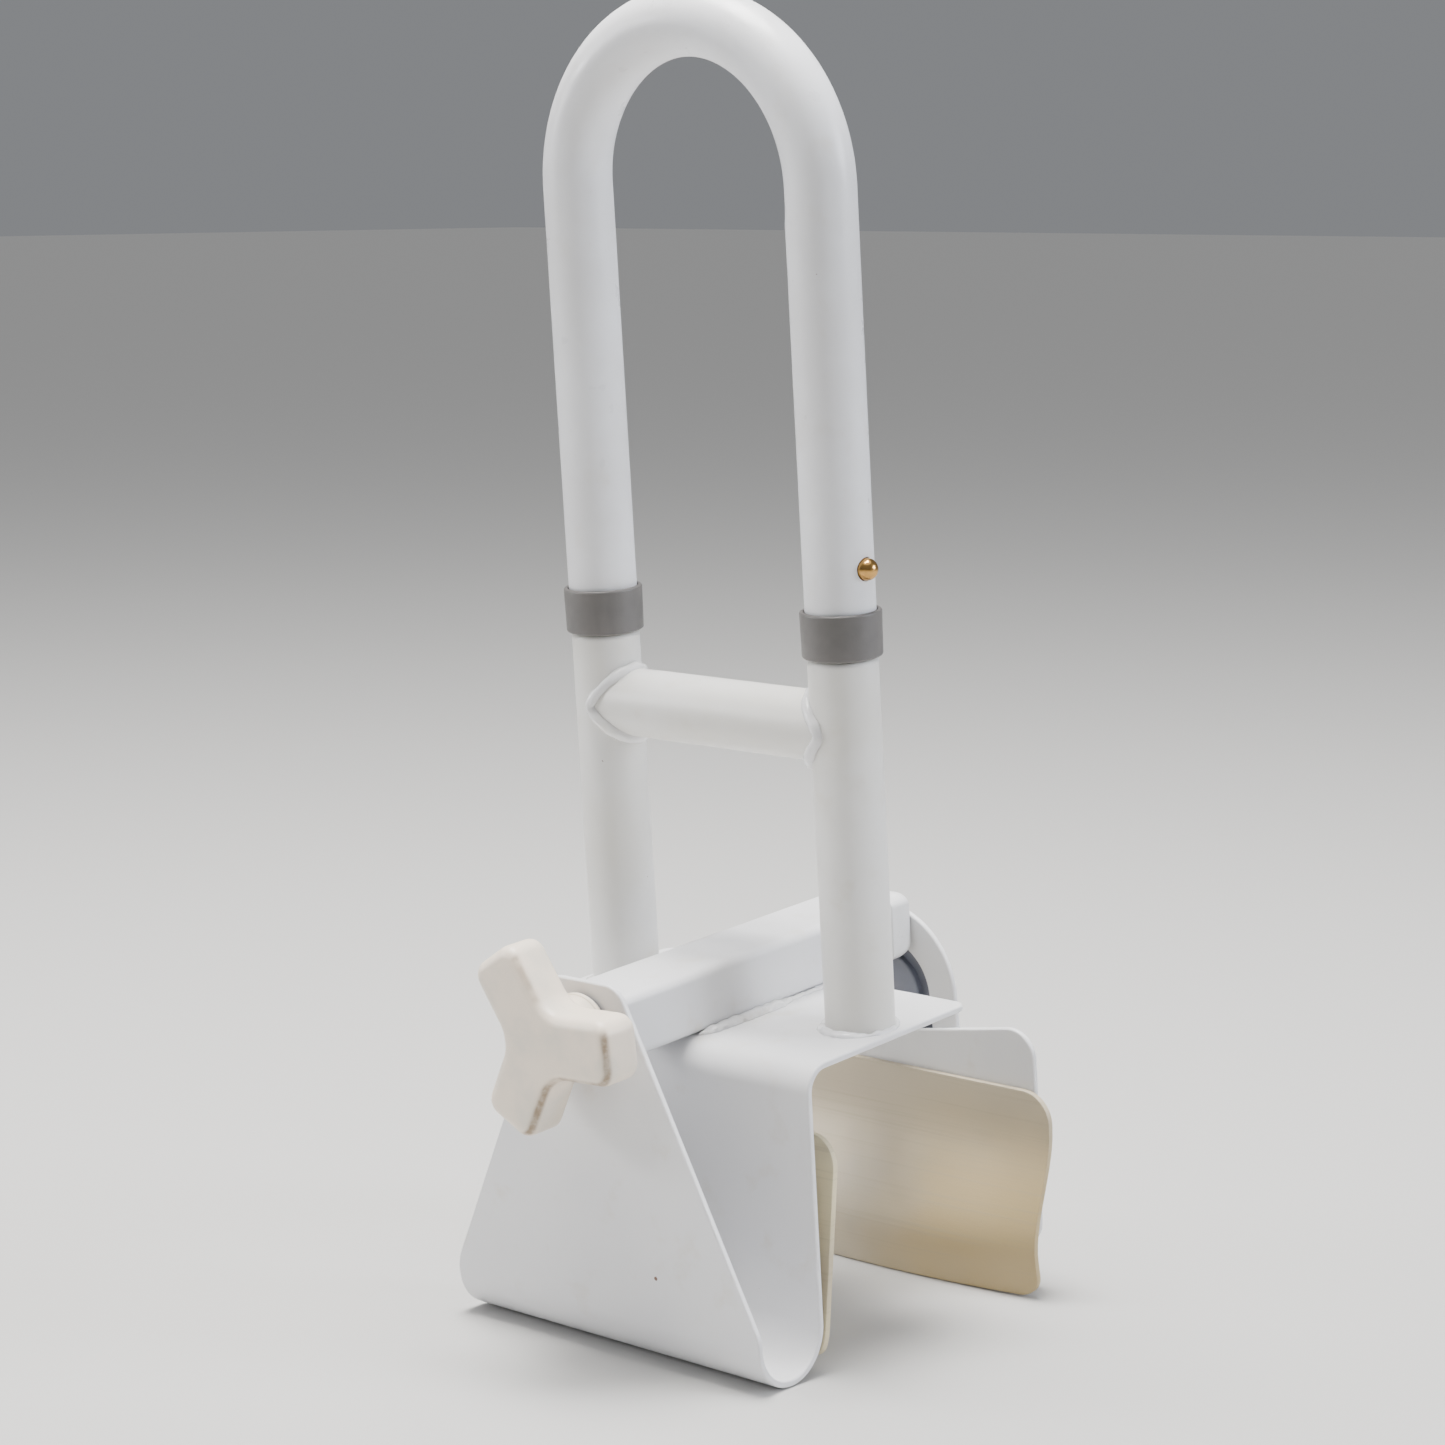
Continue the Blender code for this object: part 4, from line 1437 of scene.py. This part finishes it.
@dataclass
class ClampScrew:
    """The three-lobed knob with its insert, screw, washer and collar."""

    reach: float = 0.0355
    half: float = 0.0118
    corner: float = 0.006
    web: float = 0.012
    turn: float = math.radians(3)
    depth: float = 0.0177
    edge: float = 0.0042
    hub: float = 0.0132
    insert: float = 0.008
    pitch: float = 0.0015875
    thread_start: float = -0.06
    thread_steps: int = 20  # in one turn of the thread

    def build(self) -> None:
        """Builds the knob and everything that turns with it."""
        self.make_knob()
        self.make_insert()
        self.make_screw()
        self.make_ring("steel_thrust_washer", "thrust_washer", 0.0003, 64)
        self.make_ring("steel_screw_collar", "screw_collar", 0.0005, 48)

    def outline(self) -> list[Point]:
        """Three lobes with straight flanks, rounded corners and hollow webs between them.

        Returns:
            The points, round the outline.
        """
        third = math.tau / 3
        web_reach = (self.half + self.web) / math.sin(third / 2)
        inset = self.half - self.corner
        points = []
        for lobe in range(3):
            tip = self.reach - self.corner
            flat = arc((tip, -inset), self.corner, -90, 0, 8) + arc((tip, inset), self.corner, 0, 90, 8)
            web = (web_reach * math.cos(third / 2), web_reach * math.sin(third / 2))
            flat += arc(web, self.web, 270, 210, 10)
            way = Matrix.Rotation(self.turn + lobe * third, 2)
            points += [tuple(way @ Vector(p)) for p in flat]
        return points

    def make_knob(self) -> None:
        """The knob: lobes with well rounded edges, a hub with a lip, and the bore for its insert."""
        box = Extent.of("knob")
        z = Extent.of("clamp_screw").centre.z
        bm = upright(plate(self.outline(), self.depth, self.edge, 8), box.low.y + self.depth / 2)
        piece = new_object("three_lobed_knob", placed(bm, Matrix.Translation((0, 0, z))))
        start, end, r = box.low.y + self.depth - 0.004, box.high.y, self.hub
        hub = [(0, start), (r - 0.0006, start), (r - 0.0006, end - 0.0022), (r - 0.0002, end - 0.0019)]
        hub += arc((r - 0.0006, end - 0.0008), 0.0006, 0, 90, 4) + [(0, end - 0.0002)]
        combined(piece, along_y(turned(hub, 64, closed=False), z), "UNION")
        inner = Extent.of("knob_insert")
        bore = rod(self.insert + GAP, inner.low.y - GAP, end + GAP)
        combined(piece, along_y(turned(bore, closed=False), z))
        register(piece, Body.KNOB, [IVORY], "knob")

    def make_insert(self) -> None:
        """The steel insert moulded into the knob."""
        box = Extent.of("knob_insert")
        screw = Extent.of("clamp_screw")
        hole = screw.size.x / 2 + GAP
        r = box.size.x / 2
        profile = [(0, box.low.y), (r - 0.0004, box.low.y), (r, box.low.y + 0.0004)]
        profile += [(r, box.high.y - 0.0004), (r - 0.0004, box.high.y), (hole, box.high.y)]
        profile += [(hole, screw.low.y - GAP), (0, screw.low.y - GAP)]
        piece = new_object("steel_knob_insert", along_y(turned(profile, closed=False), box.centre.z))
        register(piece, Body.KNOB, [ZINC], "knob_insert")

    def make_screw(self) -> None:
        """The clamp screw: a core with chamfered ends and a helical thread wound round its working length."""
        box = Extent.of("clamp_screw")
        r = box.size.x / 2
        root = r - 0.6 * self.pitch
        plain = self.thread_start
        profile = [(0, box.low.y), (r - 0.0006, box.low.y), (r, box.low.y + 0.0006), (r, plain)]
        profile += [(root, plain + 0.001), (root, box.high.y - 0.0008)]
        profile += [(root - 0.0008, box.high.y), (0, box.high.y)]
        core = along_y(turned(profile, closed=False), box.centre.z)
        piece = new_object("threaded_clamp_screw", core)
        around = self.thread_steps
        count = int((box.high.y - 0.002 - plain) / self.pitch * around)
        crest, base = r - root, 0.45 * self.pitch
        tooth = [(-base, -0.0001), (base, -0.0001), (0.06 * self.pitch, crest), (-0.06 * self.pitch, crest)]
        stations = []
        for i in range(count + 1):
            turn = math.tau * i / around
            out = Vector((math.cos(turn), 0, math.sin(turn)))
            along = Vector((-out.z, self.pitch / (math.tau * root), out.x))
            fade = min(1.0, (i + 2) / 12, (count - i + 2) / 12)
            at = out * root + Vector((0, plain + 0.001 + self.pitch * i / around, box.centre.z))
            stations.append(station(at, along, out, fade))
        winding = new_object("winding", swept(tooth, stations))
        bm = bmesh.new()
        for part in (piece, winding):
            bm.from_mesh(part.data)
        bm.to_mesh(piece.data)
        bm.free()
        bpy.data.objects.remove(winding, do_unlink=True)
        register(piece, Body.KNOB, [ZINC], "clamp_screw", flats=False)

    def make_ring(self, name: str, node: str, rounding: float, steps: int) -> None:
        """A steel ring on the screw: the thrust washer, or the collar that keeps the screw in.

        Args:
            name: the piece's name.
            node: the frame node that it replaces.
            rounding: the edges' radius.
            steps: the flats round it.
        """
        box = Extent.of(node)
        inner = Extent.of("clamp_screw").size.x / 2 + GAP
        profile = eased_ring(inner, box.size.x / 2, box.low.y, box.high.y, rounding)
        piece = new_object(name, along_y(turned(profile, steps), box.centre.z))
        register(piece, Body.KNOB, [ZINC], node)


@dataclass
class RearJaw:
    """The jaw that the screw draws in: slider, nut, arch bracket, plate, pad and cover."""

    sheet: float = 0.0025
    edge: float = 0.0009
    slider_corner: float = 0.0019
    slider_wall: float = 0.0016
    plate_corner: float = 0.011
    plate_dip: float = -0.0302
    plate_rise: float = 0.17
    arch_out: float = 0.034
    arch_in: float = 0.0217
    arch_in_drop: float = 0.002
    splay: float = 0.004
    cover_r: float = 0.029
    boss_r: float = 0.0165
    pad: float = 0.0026
    pad_corner: float = 0.012
    pad_foot: float = 0.008
    curl: float = 0.012
    bow: float = 0.007
    lift: float = 0.0018

    def build(self) -> None:
        """Builds every piece of the rear jaw."""
        self.make_slider()
        self.make_nut()
        self.make_arch()
        self.make_cover()
        self.make_plate()
        self.make_pad()

    def make_slider(self) -> None:
        """The plated box tube that slides in the guide."""
        box = Extent.of("slider_tube")
        piece = new_object("slider_box_tube", box_tube(box, self.slider_corner, self.slider_wall))
        register(piece, Body.REAR_JAW, [ZINC], "slider_tube")

    def make_nut(self) -> None:
        """The block nut in the slider's front end."""
        box = Extent.of("clamp_nut")
        screw = Extent.of("clamp_screw")
        bm = plate(rounded_rectangle(box.size.x, box.size.z, 0.0015), box.size.y, 0.0004, 2)
        piece = new_object("block_nut", moved(bm, FixedJaw.across(box.centre)))
        hole = screw.size.x / 2 + GAP
        low, high = box.low.y - GAP, box.high.y + GAP
        drill = turned(rod(hole, low, high), closed=False)
        combined(piece, along_y(drill, box.centre.z))
        register(piece, Body.REAR_JAW, [ZINC], "clamp_nut")

    def make_arch(self) -> None:
        """The flat arch that carries the rear plate from the slider."""
        box = Extent.of("arch_bracket")
        top_z = box.high.z - self.arch_out
        outer = arc((0, top_z), self.arch_out, 90, 0, 24) + [(self.arch_out + self.splay, box.low.z)]
        in_z = top_z - self.arch_in_drop
        inner = arc((0, in_z), self.arch_in, 90, 0, 24) + [(self.arch_in + self.splay, box.low.z)]
        left_in = [(-a, b) for a, b in reversed(inner[1:])]
        left_out = [(-a, b) for a, b in reversed(outer[1:])]
        outline = left_out + outer + list(reversed(inner)) + list(reversed(left_in))
        bm = plate(outline, self.sheet, self.edge, 4)
        piece = new_object("arch_strap", upright(bm, box.centre.y))
        register(piece, Body.REAR_JAW, [SHEET_PAINT], "arch_bracket")

    def make_cover(self) -> None:
        """The moulded cover behind the arch, with a raised boss that fills the arch's opening; its dark
        bluish grey is painted shade.
        """
        box = Extent.of("rear_cover")
        arch = Extent.of("arch_bracket")
        top_z = arch.high.z - self.arch_out
        side = arc((0, top_z), self.cover_r, 90, 0, 20) + [(self.cover_r, box.low.z)]
        back = arch.high.y + GAP
        thick = box.high.y - back
        bm = upright(plate(mirrored(list(reversed(side))), thick, 0.001, 4), back + thick / 2)
        piece = new_object("moulded_rear_cover", bm)
        boss_z = top_z - self.arch_in_drop
        boss = arc((0, boss_z), self.boss_r, 90, 0, 16) + [(self.boss_r, box.low.z + 0.01)]
        deep = back + thick / 2 - box.low.y
        boss_bm = upright(plate(mirrored(list(reversed(boss))), deep, 0.0008, 3), box.low.y + deep / 2)
        combined(piece, boss_bm, "UNION")
        register(piece, Body.REAR_JAW, [COVER_IN_PAINTED_SHADE], "rear_cover")

    def make_plate(self) -> None:
        """The plate behind the rear pad, with a top edge that rises outwards."""
        box = Extent.of("rear_plate")
        r, inset = self.plate_corner, box.high.x - self.plate_corner
        slope = math.atan(self.plate_rise)
        right = arc((inset, box.low.z + r), r, -90, 0, 10)
        high_z = self.plate_dip + self.plate_rise * inset - r / math.cos(slope)
        right += arc((inset, high_z), r, 0, 90 + math.degrees(slope), 12) + [(0, self.plate_dip)]
        bm = plate(mirrored(right), self.sheet, self.edge, 4)
        piece = new_object("rear_pressure_plate", upright(bm, box.centre.y))
        register(piece, Body.REAR_JAW, [SHEET_PAINT], "rear_plate")

    def make_pad(self) -> None:
        """The rear vinyl pad, flat on its plate at the top and curled forwards lower down."""
        box = Extent.of("rear_jaw_pad")
        plate_y = Extent.of("rear_plate").low.y
        half, top, bottom = box.high.x, box.high.z, box.low.z

        def hang(v: Vector) -> Vector:
            """Stands the pad up against its plate, and curls and bows it forwards as it goes down.

            Args:
                v: where the point is.

            Returns:
                Where it goes.
            """
            drop = top - v.y
            curl = self.curl * smooth((drop - 0.014) / 0.046)
            bow = self.bow * (1 - (v.x / half) ** 2) * smooth((drop - 0.020) / 0.057)
            lift = self.lift * smooth((drop - 0.058) / 0.019)
            y = plate_y - GAP - self.pad / 2 - curl - bow + lift
            return Vector((v.x, y + v.z, v.y))

        right = arc((half - self.pad_foot, bottom + self.pad_foot), self.pad_foot, -90, 0, 8)
        right += arc((half - self.pad_corner, top - self.pad_corner), self.pad_corner, 0, 90, 10)
        bm = pad_plate(mirrored(right), self.pad)
        sliced(bm, Axis.X, evenly(-half, half, 0.005))
        sliced(bm, Axis.Y, evenly(bottom, top, 0.0035))
        piece = new_object("rear_pad_sheet", moved(bm, hang))
        register(piece, Body.REAR_JAW, [REAR_VINYL, CUT_VINYL], "rear_jaw_pad")


# Stage


@dataclass
class Studio:
    """The floor that the rail stands on, soft lights and the camera."""

    loop: float = 0.0176
    floor_size: float = 40.0
    lens: float = 88.25
    sensor: float = 36.0
    shift: float = -0.0146

    def build(self) -> None:
        """Builds the floor, the lights and the camera."""
        self.make_floor()
        self.make_lights()
        self.make_camera()

    def lean(self) -> tuple[Vector, float]:
        """A point of the floor and its slope, so that it touches the U-bend and the rear pad's foot.

        Returns:
            The point, and the slope in radians.
        """
        jaw = Extent.of("fixed_jaw")
        pad = bpy.data.objects["rear_pad_sheet"]
        centre = Vector((0, jaw.low.y + self.loop, jaw.low.z + self.loop))

        def slope(point: Vector) -> float:
            """The slope of the line from the U-bend's underside to a point."""
            to = Vector((0, point.y - centre.y, point.z - centre.z))
            return math.atan2(to.z, to.y) + math.asin(self.loop / to.length)

        lowest = min((vertex.co.copy() for vertex in pad.data.vertices), key=slope)
        return lowest, slope(lowest)

    def make_floor(self) -> None:
        """A pale, matt floor."""
        point, slope = self.lean()
        bm = bmesh.new()
        bmesh.ops.create_grid(bm, x_segments=1, y_segments=1, size=self.floor_size / 2)
        level = Matrix.Translation((0, point.y, point.z - 0.0002)) @ Matrix.Rotation(slope, 4, "X")
        floor = new_object("pale_floor", placed(bm, level))
        made = bpy.data.materials.new("pale_floor")
        made.use_nodes = True
        shader = made.node_tree.nodes["Principled BSDF"]
        shader.inputs["Base Color"].default_value = linear("#B9B8B6")
        shader.inputs["Roughness"].default_value = 0.75
        floor.data.materials.append(made)

    def make_light(self, name: str, place: Vector, size: float, power: float, colour: str) -> None:
        """One soft square light that looks at the middle of the rail.

        Args:
            name: the light's name.
            place: where it hangs.
            size: the length of its side.
            power: its power in watts.
            colour: its hex colour.
        """
        data = bpy.data.lights.new(name, "AREA")
        data.size, data.energy = size, power
        data.color = linear(colour)[:3]
        light = bpy.data.objects.new(name, data)
        bpy.context.scene.collection.objects.link(light)
        light.location = place
        aim = Vector((0, 0, 0.05)) - place
        light.rotation_euler = aim.to_track_quat("-Z", "Y").to_euler()

    def make_lights(self) -> None:
        """Soft lights overhead and from both sides, a wide one for the far floor, and a pale sky."""
        self.make_light("overhead_light", Vector((-0.15, 0.10, 1.7)), 0.8, 100.0, "#FFFDFA")
        self.make_light("left_light", Vector((-2.0, -1.35, 0.8)), 0.7, 34.0, "#FBFCFF")
        self.make_light("right_light", Vector((1.75, 1.1, 0.7)), 0.7, 36.0, "#EDF3FF")
        wide = bpy.data.lights.new("wide_light", "SUN")
        wide.energy, wide.angle = 1.1, math.radians(70)
        bpy.context.scene.collection.objects.link(bpy.data.objects.new("wide_light", wide))
        world = bpy.data.worlds.new("even_sky")
        world.use_nodes = True
        sky = world.node_tree.nodes["Background"]
        sky.inputs["Color"].default_value = linear("#E4E7EC")
        sky.inputs["Strength"].default_value = 0.3
        bpy.context.scene.world = world

    def make_camera(self) -> None:
        """The camera, turned as the rail is seen: from its front right and a little above."""
        data = bpy.data.cameras.new("camera")
        data.lens, data.sensor_width, data.shift_y = self.lens, self.sensor, self.shift
        camera = bpy.data.objects.new("camera", data)
        bpy.context.scene.collection.objects.link(camera)
        back = Vector((0.6550, -0.7275, 0.2043)).normalized()
        right = Vector((0.7495, 0.6597, -0.0541))
        right = (right - back * right.dot(back)).normalized()
        turn = Matrix((right, back.cross(right), back)).transposed().to_4x4()
        camera.matrix_world = Matrix.Translation((0.84465, -0.93892, 0.37979)) @ turn
        bpy.context.scene.camera = camera


def main() -> None:
    """Builds the rail's sub-assemblies in order, and then the stage."""
    logging.basicConfig(level=logging.INFO, format="%(message)s")
    for assembly in (FixedJaw(), Uprights(), WeldBeads(), Handle(), ClampScrew(), RearJaw(), Studio()):
        assembly.build()
        log.info("%s is built", type(assembly).__name__)


if __name__ == "__main__":
    main()
